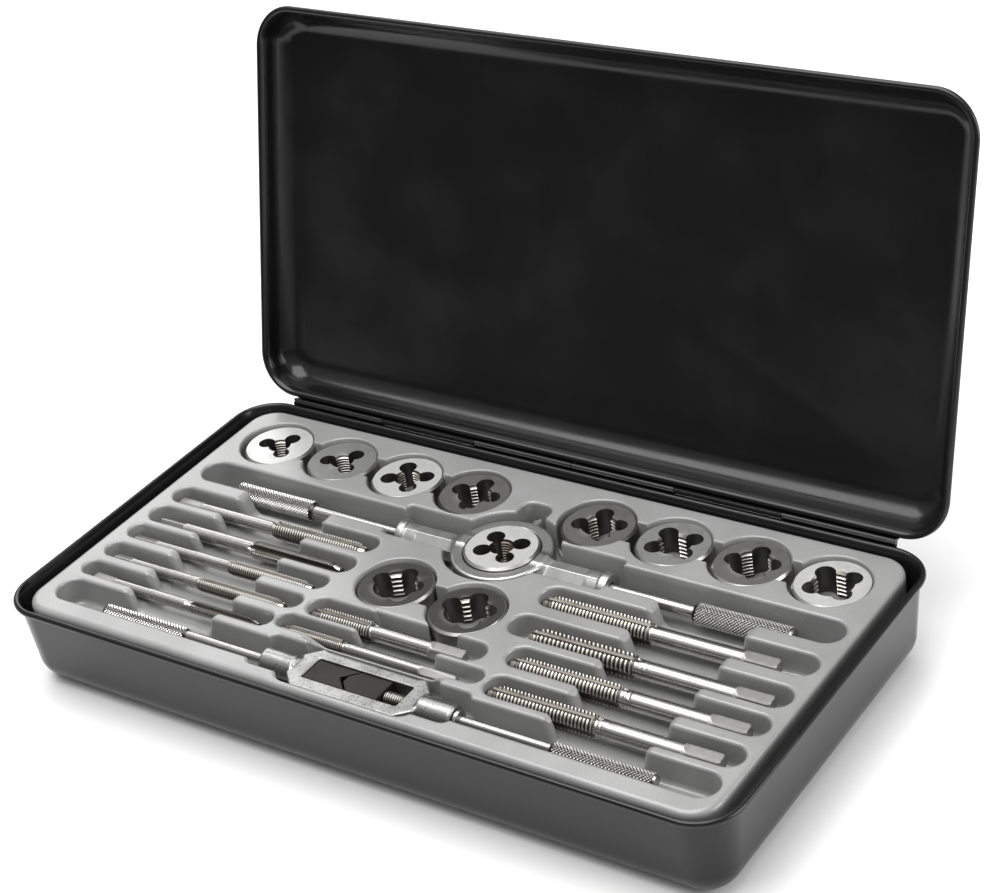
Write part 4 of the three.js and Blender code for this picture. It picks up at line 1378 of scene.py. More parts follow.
@dataclass
class HandTap:
    """A hand tap: a fluted thread with a tapered start, a shank and a square.

    Attributes:
        tip_share: Share of the thread's radius that the tip has.
        neck: Length of the slope from thread to shank.
        chamfer: Length of the bevel at the end.
        flats_share: Share of the shank's radius that the square has across its flats.
        flute_radius: Radius of a flute's cutter, as a share of the thread's radius.
        flute_reach: How far out the cutter's middle is, as a share of the same.
        run_out: Length over which a flute runs out, as a share of the same.
    """

    size: TapSize
    axis_height: float = 26.9
    tip_share: float = 0.62
    tip_length: float = 4.0
    neck: float = 1.6
    chamfer: float = 0.5
    flats_share: float = 0.76
    flute_radius: float = 0.4
    flute_reach: float = 0.94
    run_out: float = 1.6

    LAND_COLUMNS: ClassVar[int] = 11
    FLUTE_COLUMNS: ClassVar[int] = 5
    FLUTE_EDGE: ClassVar[float] = 0.006
    RUN_OUT_STEP: ClassVar[float] = 0.45
    SPACE: ClassVar[float] = 0.4
    SHANK_RINGS: ClassVar[int] = 9
    SHOULDER_SLOPE: ClassVar[float] = 1.6
    SHOULDER_SHARES: ClassVar[tuple[float, ...]] = (0, 0.25, 0.5, 0.75, 1)
    BEVEL_SLOPES: ClassVar[tuple[float, float]] = (1.2, 0.3)
    TIP_SHINE: ClassVar[float] = 0.75
    SEAM_EASE: ClassVar[float] = 0.05

    def _first_flute(self) -> float:
        """Angle of the first flute's middle."""
        return math.radians(self.size.turn) + QUARTER_TURN

    def _angles(self) -> tuple[Grid, Grid]:
        """Angles of the columns, from flute to flute, and how far each has left the seam."""
        period = FULL_TURN / self.size.flutes
        share = (1 + self.flute_reach ** 2 - self.flute_radius ** 2) / (2 * self.flute_reach)
        edge = math.acos(share)
        half = np.linspace(0, edge, self.FLUTE_COLUMNS)
        land = np.linspace(edge + self.FLUTE_EDGE, period - edge - self.FLUTE_EDGE,
                           self.LAND_COLUMNS)
        one = np.concatenate([half, land, period - half[:0:-1]])
        turns = np.concatenate([one + k * period for k in range(self.size.flutes)])
        seam = np.clip(np.minimum(turns, FULL_TURN - turns) / edge, 0, 1)
        return turns + self._first_flute(), seam

    def _square_angles(self, start: float, columns: int) -> Grid:
        """Angles of the columns on the square, with most along its flats."""
        quarter = columns // 4
        corner = math.acos(self.flats_share)
        flat = np.linspace(-corner, corner, quarter - 1)
        one = np.concatenate([flat, [QUARTER_TURN / 2]])
        turns = np.concatenate([one + k * QUARTER_TURN for k in range(4)])
        turns = turns + math.radians(self.size.square_turn)
        turns = (turns - start + self.SEAM_EASE) % FULL_TURN - self.SEAM_EASE
        return np.sort(turns) + start

    def _thread_radius(self, x: Grid, angles: Grid, share: Grid) -> tuple[Grid, Grid]:
        """Radius and brightness of the fluted thread.

        Args:
            x: Place along the axis for each column.
            angles: Angle of each column.
            share: Share of a turn for each column.

        Returns:
            The radius, and how bright the surface is.
        """
        size, full = self.size, self.size.thread / 2
        crest = Thread.crest(x / size.pitch - share + 0.5)
        depth = Thread.DEPTH_SHARE * size.pitch
        rise = np.clip(x / self.tip_length, 0, 1)
        tip = full * (self.tip_share + (1 - self.tip_share) * rise)
        drop = np.clip((x - size.threaded) / self.neck, 0, 1)
        limit = np.where(x < size.threaded, tip, full + (size.shank / 2 - full) * drop)
        thread = full - depth * (1 - crest)
        radius = np.minimum(thread, limit)
        left = np.clip(1 - (x - size.threaded) / (self.run_out * full), 0, 1)
        cutter = full * self.flute_radius * left
        reach = full * self.flute_reach
        period = FULL_TURN / size.flutes
        away = (angles - self._first_flute() + period / 2) % period - period / 2
        inside = cutter ** 2 - (reach * np.sin(away)) ** 2
        cut = np.where(inside > 0, reach * np.cos(away) - np.sqrt(np.maximum(inside, 0)), np.inf)
        # Crests are painted lighter than the roots and the flutes, and the tapered start gets a
        # fixed level: partly worn bright by use, partly a painted highlight.
        bright = np.where(cut < radius, 0.0, np.where(limit < thread, self.TIP_SHINE, crest))
        return np.minimum(radius, cut), bright

    def _lathe(self) -> Lathe:
        """Every ring of the tap from its tip to its end."""
        size = self.size
        angles, seam = self._angles()
        share = (angles - angles[0]) / FULL_TURN
        lathe = Lathe(len(angles))
        shift = size.pitch * (share - 0.5) * seam
        end = size.threaded + self.neck
        for station in Thread.stations(0, end, size.pitch):
            x = np.clip(station + shift, 0, end)
            radius, bright = self._thread_radius(x, angles, share)
            lathe.ring(x, radius, bright, 0, angles)
        clear = size.threaded + self.run_out * size.thread / 2
        for x in np.arange(end + self.SPACE, clear + self.SPACE, self.RUN_OUT_STEP):
            radius, _ = self._thread_radius(np.full_like(angles, x), angles, share)
            lathe.ring(x, radius, 0.0, 1, angles)
        shoulder = size.length - size.square
        square = self._square_angles(angles[0], len(angles))
        start, stop = clear + 2 * self.SPACE, shoulder - self.SPACE
        for mix in np.linspace(0, 1, self.SHANK_RINGS):
            lathe.ring(start + mix * (stop - start), size.shank / 2, 0.0, 1,
                       angles + mix * (square - angles))
        self._end(lathe, square, shoulder)
        return lathe

    def _end(self, lathe: Lathe, angles: Grid, shoulder: float) -> None:
        """Adds the square with its sloping shoulder and bevelled end."""
        full = self.size.shank / 2
        half = self.flats_share * full
        beside = angles - math.radians(self.size.square_turn)
        lean = np.maximum(np.abs(np.cos(beside)), np.abs(np.sin(beside)))
        length = self.size.length
        steep, gentle = self.BEVEL_SLOPES
        ramp = [shoulder + (full - half) * self.SHOULDER_SLOPE * share
                for share in self.SHOULDER_SHARES]
        for x in [*ramp, length - self.chamfer, length - self.chamfer / 2, length]:
            flats = max(half, full - (x - shoulder) / self.SHOULDER_SLOPE)
            bevel = max(0.0, x - (length - self.chamfer))
            radius = np.minimum(flats / lean, full - steep * bevel) - gentle * bevel
            lathe.ring(x, radius, 0.0, 2, angles)

    def build(self, finishes: Finishes, mount: Mount) -> None:
        """Makes the tap.

        Args:
            finishes: The materials.
            mount: Hangs the piece.
        """
        name = self.size.name
        surfaces = [finishes.tap_thread, finishes.tap_shank, finishes.tap_square]
        piece = self._lathe().draft().build(f"hand_tap_{name}", surfaces, weld=True)
        place = moved(self.size.tip, self.size.line, self.axis_height)
        if self.size.tip > self.size.end:
            place = place @ turned(math.pi)
        mount.hang(piece, f"loose_tap_{name}", f"tap_{name}", "bright_steel", place)


class DieLook(Enum):
    """How a die's faces and rim look, from ground bright to black."""

    BRIGHT = "ground bright all over"
    GREY = "grey faces and a worn rim"
    DARK = "dark all over"
    RINGED = "dark faces and a wide worn rim"
    BLACK = "black faces and a worn rim"
    BROWNED = "bright, with a browned bore"


@dataclass(frozen=True)
class DieSize:
    """Sizes of one die's hole, and its place.

    Attributes:
        name: Which die it is.
        x: Place of its middle, left to right.
        y: Place of its middle, front to back.
        bore: Radius over the crests of the thread.
        reach: How far the chip holes' middles are from the die's.
        lobe: Radius of a chip hole.
        degrees: Directions of the chip holes.
        look: How its surfaces look.
        pitch: Pitch of the thread.
        height: Height of its middle.
    """

    name: str
    x: float
    y: float
    bore: float
    reach: float
    lobe: float
    degrees: tuple[float, ...]
    look: DieLook
    pitch: float
    height: float = 25.75


DIES = (
    DieSize("1", -107.8, 47.4, 3.2, 5.5, 2.9, (70, 185, 313), DieLook.BRIGHT, 1.0),
    DieSize("2", -79.8, 47.4, 3.3, 5.5, 2.9, (65, 195, 320), DieLook.GREY, 1.0),
    DieSize("3", -51.8, 47.4, 3.8, 6.4, 3.1, (24, 123, 207, 306), DieLook.BRIGHT, 1.0),
    DieSize("4", -23.8, 47.4, 4.8, 6.4, 3.1, (4, 90, 172, 282), DieLook.DARK, 1.25),
    DieSize("5", 25.2, 47.4, 5.0, 6.4, 3.1, (20, 104, 194, 306), DieLook.DARK, 1.25),
    DieSize("6", 53.2, 47.4, 4.8, 6.4, 3.3, (43, 135, 218, 325), DieLook.GREY, 1.5),
    DieSize("7", 81.2, 47.4, 5.8, 6.4, 3.1, (14, 90, 180, 307), DieLook.RINGED, 1.25),
    DieSize("8", 109.2, 47.4, 5.8, 6.4, 3.3, (47, 137, 222, 321), DieLook.BRIGHT, 1.5),
    DieSize("9", -17.85, -6.94, 6.2, 6.4, 3.1, (14, 85, 169, 314), DieLook.BLACK, 1.75),
    DieSize("10", 11.43, -9.52, 6.2, 6.4, 3.3, (19, 90, 170, 308), DieLook.BLACK, 1.75),
)
STOCK_DIE = DieSize("in_stock", *STOCK_PLACE[:2], 3.4, 6.4, 3.1, (36, 140, 219, 312),
                    DieLook.BROWNED, 1.0, 26.15)


@dataclass
class RoundDie:
    """A round die: threaded lands between chip holes, and a set-screw dimple in its rim.

    Attributes:
        bevel: Width of the bevels.
        lead: Depth of the bevel where the thread meets a face.
    """

    size: DieSize
    radius: float = 12.695
    half: float = 4.75
    bevel: float = 0.75
    dimple_radius: float = 1.2
    dimple_depth: float = 1.17
    lead: float = 0.25

    LAND_COLUMNS: ClassVar[int] = 12
    LOBE_COLUMNS: ClassVar[int] = 16
    RIM_COLUMNS: ClassVar[int] = 90
    DIMPLE_COLUMNS: ClassVar[int] = 17
    BESIDE_DIMPLE: ClassVar[float] = 1.15
    LEAD_SHINE: ClassVar[float] = 0.5
    LOBE_SHINE: ClassVar[float] = 0.1

    def _spread(self, radius: Grid | float) -> tuple[Grid, Grid]:
        """Half angles of a chip hole where a circle meets it, seen from the die and the hole."""
        reach, lobe = self.size.reach, self.size.lobe
        outer = (radius ** 2 + reach ** 2 - lobe ** 2) / (2 * radius * reach)
        inner = (reach ** 2 + lobe ** 2 - radius ** 2) / (2 * reach * lobe)
        return np.arccos(np.clip(outer, -1, 1)), np.arccos(np.clip(inner, -1, 1))

    def _seam(self) -> float:
        """Direction of the chip hole where the thread's rings close."""
        return math.radians(min(self.size.degrees))

    def _level(self, angle: Grid) -> Grid:
        """Height of each ring at an angle, following the thread."""
        stations = Thread.stations(-self.half, self.half, self.size.pitch)[:, None]
        spread, _ = self._spread(self.size.bore)
        share = (angle - self._seam()) / FULL_TURN
        near = np.clip(np.minimum(share, 1 - share) / (spread / FULL_TURN), 0, 1)
        return np.clip(stations + self.size.pitch * (share - 0.5) * near, -self.half, self.half)

    def _land_radius(self, z: Grid, angle: Grid) -> tuple[Grid, Grid]:
        """Radius of the threaded land and how bright it is there."""
        pitch = self.size.pitch
        depth = Thread.DEPTH_SHARE * pitch
        crest = Thread.crest(z / pitch - (angle - self._seam()) / FULL_TURN + 0.5)
        lead = depth + self.lead - (self.half - np.abs(z))
        radius = self.size.bore + np.maximum(depth * (1 - crest), lead)
        # Crests are painted lighter than the roots, and the lead bevel gets a fixed level: partly
        # worn bright by use, partly a painted highlight.
        return radius, np.where(lead > depth * (1 - crest), self.LEAD_SHINE, crest)

    def _land(self, lobe: float, ahead: float, spread: float) -> tuple[Grid, Grid]:
        """The threaded land between two chip holes.

        Args:
            lobe: Direction of the first hole.
            ahead: Direction of the next one.
            spread: Half angle of a hole at the bore.

        Returns:
            Places of its rings, and how bright they are.
        """
        starts, ends = lobe + spread, ahead - spread
        share = np.linspace(0, 1, self.LAND_COLUMNS)[None, :]
        nominal = starts + share * (ends - starts)
        z = self._level(nominal)
        radius, shine = self._land_radius(z, nominal)
        first, _ = self._spread(radius[:, :1])
        last, _ = self._spread(radius[:, -1:])
        angle = (lobe + first) + share * ((ahead - last) - (lobe + first))
        return np.stack([radius * np.cos(angle), radius * np.sin(angle), z], -1), shine

    def _meeting(self, angle: float) -> Grid:
        """Half angle, seen from a chip hole, where its wall meets a land's edge at an angle."""
        edge = np.array([[angle]])
        radius, _ = self._land_radius(self._level(edge), edge)
        return self._spread(radius)[1]

    def _lobe(self, ahead: float, spread: float, last: bool) -> tuple[Grid, Grid]:
        """The wall of one chip hole.

        Args:
            ahead: Direction of the hole.
            spread: Half angle of the hole at the bore.
            last: Whether the rings close there.

        Returns:
            Places of its rings, and how bright they are.
        """
        size = self.size
        share = np.linspace(0, 1, self.LOBE_COLUMNS)[None, 1:-1]
        nominal = (ahead - spread) + share * (2 * spread)
        past = nominal > self._seam() + FULL_TURN
        z = self._level(np.where(past, nominal - FULL_TURN, nominal))
        narrow = self._meeting(ahead - spread)
        wide = self._meeting(ahead + spread - (FULL_TURN if last else 0))
        around = ahead + (narrow - math.pi) + share * (FULL_TURN - narrow - wide)
        wall = [size.reach * math.cos(ahead) + size.lobe * np.cos(around),
                size.reach * math.sin(ahead) + size.lobe * np.sin(around), z]
        return np.stack(wall, -1), np.full(z.shape, self.LOBE_SHINE)

    def _hole(self) -> tuple[Grid, Grid, Grid]:
        """The wall of the hole.

        Returns:
            Places of its rings, how bright they are, and which columns are threaded.
        """
        lobes = np.radians(sorted(self.size.degrees))
        spread, _ = self._spread(self.size.bore)
        parts, threaded = [], []
        for k, lobe in enumerate(lobes):
            last = k + 1 == len(lobes)
            ahead = lobes[(k + 1) % len(lobes)] + (FULL_TURN if last else 0)
            parts += [self._land(lobe, ahead, spread), self._lobe(ahead, spread, last)]
            threaded += [np.ones(self.LAND_COLUMNS - 1), np.zeros(self.LOBE_COLUMNS - 1)]
        places, bright = (np.concatenate(walls, 1) for walls in zip(*parts))
        return places, bright, np.concatenate(threaded)

    def _rim(self) -> Grid:
        """Rings of the outer wall, with the dimple pressed into it."""
        middle = math.radians((self.size.degrees[0] + self.size.degrees[1]) / 2)
        across = np.linspace(-self.BESIDE_DIMPLE, self.BESIDE_DIMPLE, self.DIMPLE_COLUMNS)
        close = self.dimple_radius / self.radius * across
        wide = np.linspace(close[-1], FULL_TURN + close[0], self.RIM_COLUMNS)[1:-1]
        angles = middle + np.concatenate([close, wide])
        flat = self.half - self.bevel
        heights = [-self.half, -flat, *(self.dimple_radius * across), flat, self.half]
        rings = []
        for z in heights:
            radius = self.radius - max(0.0, abs(z) - flat)
            away = np.hypot((angles - middle) * self.radius, z) / self.dimple_radius
            away = np.where(np.abs(angles - middle) > 1, 2, away)
            radius = radius - self.dimple_depth * np.clip(1 - away, 0, 1)
            rings.append(np.stack([radius * np.cos(angles), radius * np.sin(angles),
                                   np.full_like(angles, z)], -1))
        return np.array(rings)

    @staticmethod
    def _face(draft: Draft, outer: Grid, inner: Grid, places: Grid, finish: int) -> None:
        """Fills the flat face between the rim and the hole.

        Args:
            draft: The piece.
            outer: Numbers of the rim's points.
            inner: Numbers of the hole's points.
            places: Coordinates of all points.
            finish: The face's finish.
        """
        numbers = np.concatenate([outer, inner])
        flat = places[numbers][:, :2]
        loops = [np.arange(len(outer)), len(outer) + np.arange(len(inner))]
        edges = [pair for loop in loops
                 for pair in zip(loop.tolist(), np.roll(loop, -1).tolist())]
        corners = [Vector(place) for place in flat.tolist()]
        _, _, faces, origins, _, _ = delaunay_2d_cdt(corners, edges, [], 0, 1e-6)
        hole = flat[loops[1]]
        ahead = np.roll(hole, -1, axis=0)
        kept = []
        for face in faces:
            corner = [origins[v][0] for v in face]
            x, y = flat[corner].mean(axis=0)
            crosses = (hole[:, 1] > y) != (ahead[:, 1] > y)
            rise = np.where(crosses, ahead[:, 1] - hole[:, 1], 1.0)
            at = hole[:, 0] + (y - hole[:, 1]) / rise * (ahead[:, 0] - hole[:, 0])
            if not np.count_nonzero(crosses & (x < at)) % 2:
                kept.append([numbers[c] for c in corner])
        draft.add(np.array(kept), finish)

    def _draft(self) -> Draft:
        """The whole die: rim, hole and the two faces between them."""
        draft = Draft()
        outer = draft.points(self._rim())
        draft.quads(outer, 1)
        hole, bright, threaded = self._hole()
        inner = draft.points(hole, bright)
        ahead = np.roll(inner, -1, axis=1)
        faces = np.stack([inner[:-1], inner[1:], ahead[1:], ahead[:-1]], -1)
        lands = np.broadcast_to(np.where(threaded > 0, 2, 3), faces.shape[:2])
        draft.add(faces.reshape(-1, 4), lands.reshape(-1))
        places = np.concatenate(draft.places)
        for row in (0, -1):
            start = len(draft.faces)
            self._face(draft, outer[row], inner[row], places, 0)
            faces, finish = draft.faces[start]
            if row == 0:
                draft.faces[start] = (faces[:, ::-1], finish)
        return draft

    def build(self, finishes: Finishes, mount: Mount) -> None:
        """Makes the die.

        Args:
            finishes: The materials.
            mount: Hangs the piece.
        """
        bright, dark = finishes.die_rim_bright, finishes.die_rim_dark
        looks = {
            DieLook.BRIGHT: (finishes.die_face_bright, bright, finishes.die_thread),
            DieLook.GREY: (finishes.die_face_mid, bright, finishes.die_thread),
            DieLook.DARK: (finishes.die_face_dark, dark, finishes.die_thread),
            DieLook.RINGED: (finishes.die_face_dark, bright, finishes.die_thread),
            DieLook.BLACK: (finishes.die_face_black, bright, finishes.die_thread),
            DieLook.BROWNED: (finishes.die_face_bright, bright, finishes.die_thread_brown),
        }
        size = self.size
        piece = self._draft().build(f"round_die_{size.name}", [*looks[size.look], dark], weld=True)
        place = moved(size.x, size.y, size.height)
        if size is STOCK_DIE:
            mount.hang(piece, "die_in_stock", "stock_die", "bright_steel", place)
            return
        slot = "bright_steel" if size.look is DieLook.BRIGHT else "dark_steel"
        mount.hang(piece, f"loose_die_{size.name}", f"die_{size.name}", slot, place)


@dataclass
class Grip:
    """A handle: a plain rod with a knurled grip.

    Attributes:
        grip_radius: Radius over the knurl's peaks.
        grip_start: Where the grip starts, from the start of the rod.
        diamonds: How many diamonds go round the grip.
    """

    rod_radius: float
    grip_radius: float
    grip_start: float
    grip_length: float
    chamfer: float
    diamonds: int
    knurl_depth: float = 0.42

    END_SHARE: ClassVar[float] = 0.35
    ROD_BEVEL: ClassVar[float] = 0.3

    def add(self, lathe: Lathe) -> None:
        """Adds the grip's rings, from the rod onwards."""
        start, end = self.grip_start, self.grip_start + self.grip_length
        valley = self.grip_radius - self.knurl_depth
        low = self.grip_radius - self.chamfer
        lathe.rounded([(start, self.rod_radius), (start, low)])
        lathe.knurl(start + self.chamfer, end - self.chamfer, self.grip_radius,
                    self.knurl_depth, 1)
        lathe.rounded([(end, min(low, valley)), (end, self.END_SHARE * low)])

    def build(self, name: str, finishes: Finishes) -> Piece:
        """Makes a whole handle that starts in a socket.

        Args:
            name: The piece's name.
            finishes: The materials.

        Returns:
            The piece, along +X.
        """
        lathe = Lathe(2 * self.diamonds)
        rod, bevel = self.rod_radius, self.ROD_BEVEL
        lathe.rounded([(bevel, rod - bevel), (2 * bevel, rod), (self.grip_start / 2, rod)])
        self.add(lathe)
        return lathe.draft().build(name, [finishes.rod, finishes.knurl])


@dataclass
class DieStock:
    """The die stock: a cast ring with two arms, two handles, a set screw and its die.

    Attributes:
        ledge: Width of the ledge under the die.
        arm: Width across the flats of the eight-sided arms.
        reach: Where the arms end.
        waist_ends: Its ends, from the end of the arm inwards.
        screw_offset: How far the set screw is to the left of the middle.
        screw_shank_end: Where its shank ends, inside the head.
        screw_thread: Depth of its thread, twice over.
        grip_starts: Where the left and right grips start on their rods.
    """

    ring: float = 17.0
    bore: float = 13.0
    half: float = 5.0
    ledge: float = 1.4
    ledge_height: float = 1.2
    arm: float = 9.4
    reach: float = 40.8
    collar: float = 5.6
    collar_length: float = 3.0
    waist: float = 4.5
    waist_ends: tuple[float, float] = (1.0, 8.0)
    socket: float = 6.0
    play: float = 0.3
    screw_offset: float = 0.8
    screw_radius: float = 2.0
    screw_head: float = 2.7
    screw_tip: float = 14.0
    screw_shank_end: float = 19.0
    screw_head_start: float = 18.0
    screw_end: float = 23.0
    screw_pitch: float = 0.7
    screw_thread: float = 0.14
    slot_depth: float = 1.4
    slot_width: float = 0.9
    grip_starts: tuple[float, float] = (42.5, 36.5)

    GRIP: ClassVar[partial] = partial(Grip, 2.3, 3.55, grip_length=34.0, chamfer=0.8, diamonds=19)
    ROD: ClassVar[float] = 2.3
    FILLET: ClassVar[float] = 2.2
    ARM_EASE: ClassVar[float] = 0.15
    ARM_SHORT: ClassVar[float] = 0.4
    HOLE_OVERLAP: ClassVar[float] = 2.0
    BOX: ClassVar[Point] = (41.5, 17.9, 6.5)
    STEP: ClassVar[float] = 0.36
    SCREW_LOW: ClassVar[Point] = (-3.2, 13.5, -3.2)
    SCREW_HIGH: ClassVar[Point] = (3.2, 23.5, 3.2)
    SCREW_STEP: ClassVar[float] = 0.14

    def field(self, x: Grid, y: Grid, z: Grid) -> Grid:
        """Distance to the casting."""
        across, tube = np.hypot(x, y), np.hypot(y, z)
        ring = both(across - self.ring, np.abs(z) - self.half, 0.9)
        faces = np.maximum(np.abs(y), np.abs(z))
        arm = np.maximum(faces, (np.abs(y) + np.abs(z)) / ROOT_TWO) - self.arm / 2
        far = np.abs(x) - self.reach
        arm = both(arm + self.ARM_EASE, far + self.ARM_SHORT, 0.6)
        collar = both(tube - self.collar, between(far, -self.collar_length, 0.0), 0.7)
        near, inner = self.waist_ends
        waist = both(tube - self.waist, between(far, -inner, -near), 0.5)
        body = either(either(either(ring, arm, self.FILLET), waist, 0.5), collar, 0.5)
        seat = np.maximum(across - self.bore, self.ledge_height - self.half - z)
        body = both(body, -seat, 0.35)
        body = both(body, self.bore - self.ledge - across, 0.2)
        body = both(body, -np.maximum(tube - self.ROD - self.play, -far - self.socket), 0.3)
        hole = np.hypot(x + self.screw_offset, z) - self.screw_radius - self.play
        return both(body, -np.maximum(hole, self.bore - self.HOLE_OVERLAP - y), 0.3)

    def screw_field(self, x: Grid, y: Grid, z: Grid) -> Grid:
        """Distance to the set screw, which points along -Y."""
        across = np.hypot(x, z)
        groove = self.screw_thread * np.abs((y / self.screw_pitch) % 1 - 0.5)
        shank = both(across - self.screw_radius + groove,
                     between(y, self.screw_tip, self.screw_shank_end), 0.3)
        head = both(across - self.screw_head,
                    between(y, self.screw_head_start, self.screw_end), 0.35)
        slot = np.maximum(np.abs(x) - self.slot_width / 2, self.screw_end - self.slot_depth - y)
        return both(np.minimum(shank, head), -slot, 0.12)

    def build(self, finishes: Finishes, mount: Mount) -> None:
        """Makes the stock and what is fitted to it.

        Args:
            finishes: The materials.
            mount: Hangs the pieces.
        """
        place = moved(*STOCK_PLACE)
        low = tuple(-side for side in self.BOX)
        casting = Carving(self.field, low, self.BOX, self.STEP, 0.01).draft()
        mount.hang(casting.build("stock_casting", [finishes.stock_casting]), "stock",
                   "stock_body", "cast_metal", place)
        for name, start, side, turn in zip(("left", "right"), self.grip_starts, (-1, 1),
                                           (math.pi, 0.0)):
            grip = self.GRIP(grip_start=start).build(f"stock_grip_{name}", finishes)
            mount.hang(grip, "stock", f"stock_handle_{name}", "bright_steel",
                       place @ moved(side * (self.reach - self.socket)) @ turned(turn))
        screw = Carving(self.screw_field, self.SCREW_LOW, self.SCREW_HIGH, self.SCREW_STEP)
        mount.hang(screw.draft().build("stock_screw", [finishes.rod]), "set_screw",
                   "stock_set_screw", "bright_steel", place @ moved(-self.screw_offset))
        RoundDie(STOCK_DIE).build(finishes, mount)


@dataclass
class TapWrench:
    """The tap wrench: a cast frame, two jaws, a fixed handle and a handle with the jaw's screw.

    Attributes:
        window_length: Half of the window's length.
        window_width: Half of its width.
        rod_end: Where the fixed handle starts, from the middle.
        vee_end: Where the jaw with the vee ends at the back.
        vee: How far the bottom of its vee lies from the middle.
        nose: Where the jaw with the nose starts.
        nose_tip: How far the nose's slopes meet from the middle.
        pilot: Radius of the hole for the screw's pilot.
    """

    half_length: float = 24.0
    half_width: float = 9.5
    half_thick: float = 2.8
    corner: float = 4.6
    window_length: float = 17.9
    window_width: float = 4.9
    boss: float = 4.3
    boss_start: float = 23.2
    boss_end: float = 36.0
    rod: float = 1.6
    rod_end: float = -31.0
    screw: float = 2.2
    play: float = 0.3
    jaw_width: float = 4.6
    jaw_thick: float = 2.5
    vee_end: float = -17.6
    vee: float = 6.6
    nose: float = -4.4
    nose_tip: float = 5.9
    jaw_end: float = 10.1
    pilot: float = 1.9
    pilot_start: float = 5.1
    screw_start: float = 10.4
    screw_pitch: float = 0.8
    screw_depth: float = 0.45
    collar: float = 3.2
    collar_width: float = 1.2
    collar_bevel: float = 0.25

    GRIP: ClassVar[partial] = partial(Grip, 1.6, 2.4, grip_length=35.0, chamfer=0.6, diamonds=13,
                                      knurl_depth=0.36)
    FIXED_GRIP_START: ClassVar[float] = 37.0
    SCREW_GRIP_START: ClassVar[float] = 69.5
    ROD_STATION: ClassVar[float] = 50.0
    SCREW_COLUMNS: ClassVar[int] = 26
    RINGS_PER_PITCH: ClassVar[int] = 12
    CREST_GAIN: ClassVar[float] = 1.15
    CREST_SHINE: ClassVar[float] = 0.9
    START_LENGTH: ClassVar[float] = 0.6
    NECK: ClassVar[float] = 0.4
    PILOT_BEVEL: ClassVar[float] = 0.2
    BOX: ClassVar[Point] = (36.8, 10.3, 5.1)
    STEP: ClassVar[float] = 0.3
    JAW_LOW: ClassVar[Point] = (-18.4, -5.3, -3.2)
    JAW_HIGH: ClassVar[Point] = (10.8, 5.3, 3.2)
    JAW_STEP: ClassVar[float] = 0.2

    def frame_field(self, x: Grid, y: Grid, z: Grid) -> Grid:
        """Distance to the cast frame."""
        far, wide, tube = np.abs(x), np.abs(y), np.hypot(y, z)
        bevel = (far + wide - self.half_length - self.half_width + self.corner) / ROOT_TWO
        plate = both(both(far - self.half_length, wide - self.half_width, 0.5), bevel, 0.5)
        plate = both(plate, np.abs(z) - self.half_thick, 0.7)
        boss = both(tube - self.boss, between(far, self.boss_start, self.boss_end), 0.8)
        body = either(plate, boss, 0.8)
        window = rounded_box(x, y, self.window_length, self.window_width, 0.8)
        body = both(body, -window, 0.3)
        body = both(body, -np.maximum(tube - self.rod - self.play, x - self.rod_end), 0.25)
        return both(body, -np.maximum(tube - self.screw - self.play, -x), 0.25)

    def _jaw_sides(self, y: Grid, z: Grid) -> Grid:
        """Distance to an endless bar with the jaws' width and thickness."""
        return both(np.abs(y) - self.jaw_width, np.abs(z) - self.jaw_thick, 0.3)

    def fixed_jaw_field(self, x: Grid, y: Grid, z: Grid) -> Grid:
        """Distance to the jaw with the vee."""
        ends = both(self.vee_end - x, (x - np.abs(y) + self.vee) / ROOT_TWO, 0.2)
        return both(self._jaw_sides(y, z), ends, 0.25)

    def sliding_jaw_field(self, x: Grid, y: Grid, z: Grid) -> Grid:
        """Distance to the jaw with the nose."""
        nose = both(self.nose - x, (np.abs(y) - x - self.nose_tip) / ROOT_TWO, 0.15)
        body = both(both(self._jaw_sides(y, z), nose, 0.25), x - self.jaw_end, 0.25)
        hole = np.maximum(np.hypot(y, z) - self.pilot, self.pilot_start - x)
        return both(body, -hole, 0.15)

    def _screw_handle(self, finishes: Finishes) -> Piece:
        """Makes the handle that carries the screw, from its pilot in the jaw outwards."""
        lathe = Lathe(self.SCREW_COLUMNS)
        start = self.pilot_start + self.play
        lathe.rounded([(start, self.rod - self.PILOT_BEVEL), (start + self.PILOT_BEVEL, self.rod),
                       (self.screw_start, self.rod)])
        share = np.arange(self.SCREW_COLUMNS) / self.SCREW_COLUMNS
        end = self.boss_end + self.play
        for x in np.arange(self.screw_start, end - self.NECK,
                           self.screw_pitch / self.RINGS_PER_PITCH):
            away = np.abs((x / self.screw_pitch - share) % 1 - 0.5) * 2
            ease = min(1.0, (x - self.screw_start) / self.START_LENGTH)
            crest = np.clip(self.CREST_GAIN * away, 0, 1)
            radius = self.screw - self.screw_depth * (1 - crest) - self.NECK * (1 - ease)
            # Crests are painted lighter than the roots: partly worn bright by use, partly a painted
            # highlight.
            lathe.ring(x, radius, crest * self.CREST_SHINE, 2)
        low, stop = self.collar - self.collar_bevel, end + self.collar_width
        lathe.rounded([(end, self.screw - self.NECK), (end, low),
                       (end + self.collar_bevel, self.collar),
                       (stop - self.collar_bevel, self.collar), (stop, low), (stop, self.rod),
                       (self.ROD_STATION, self.rod)])
        self.GRIP(grip_start=self.SCREW_GRIP_START).add(lathe)
        return lathe.draft().build("wrench_screw_grip",
                                   [finishes.rod, finishes.knurl, finishes.tap_thread])

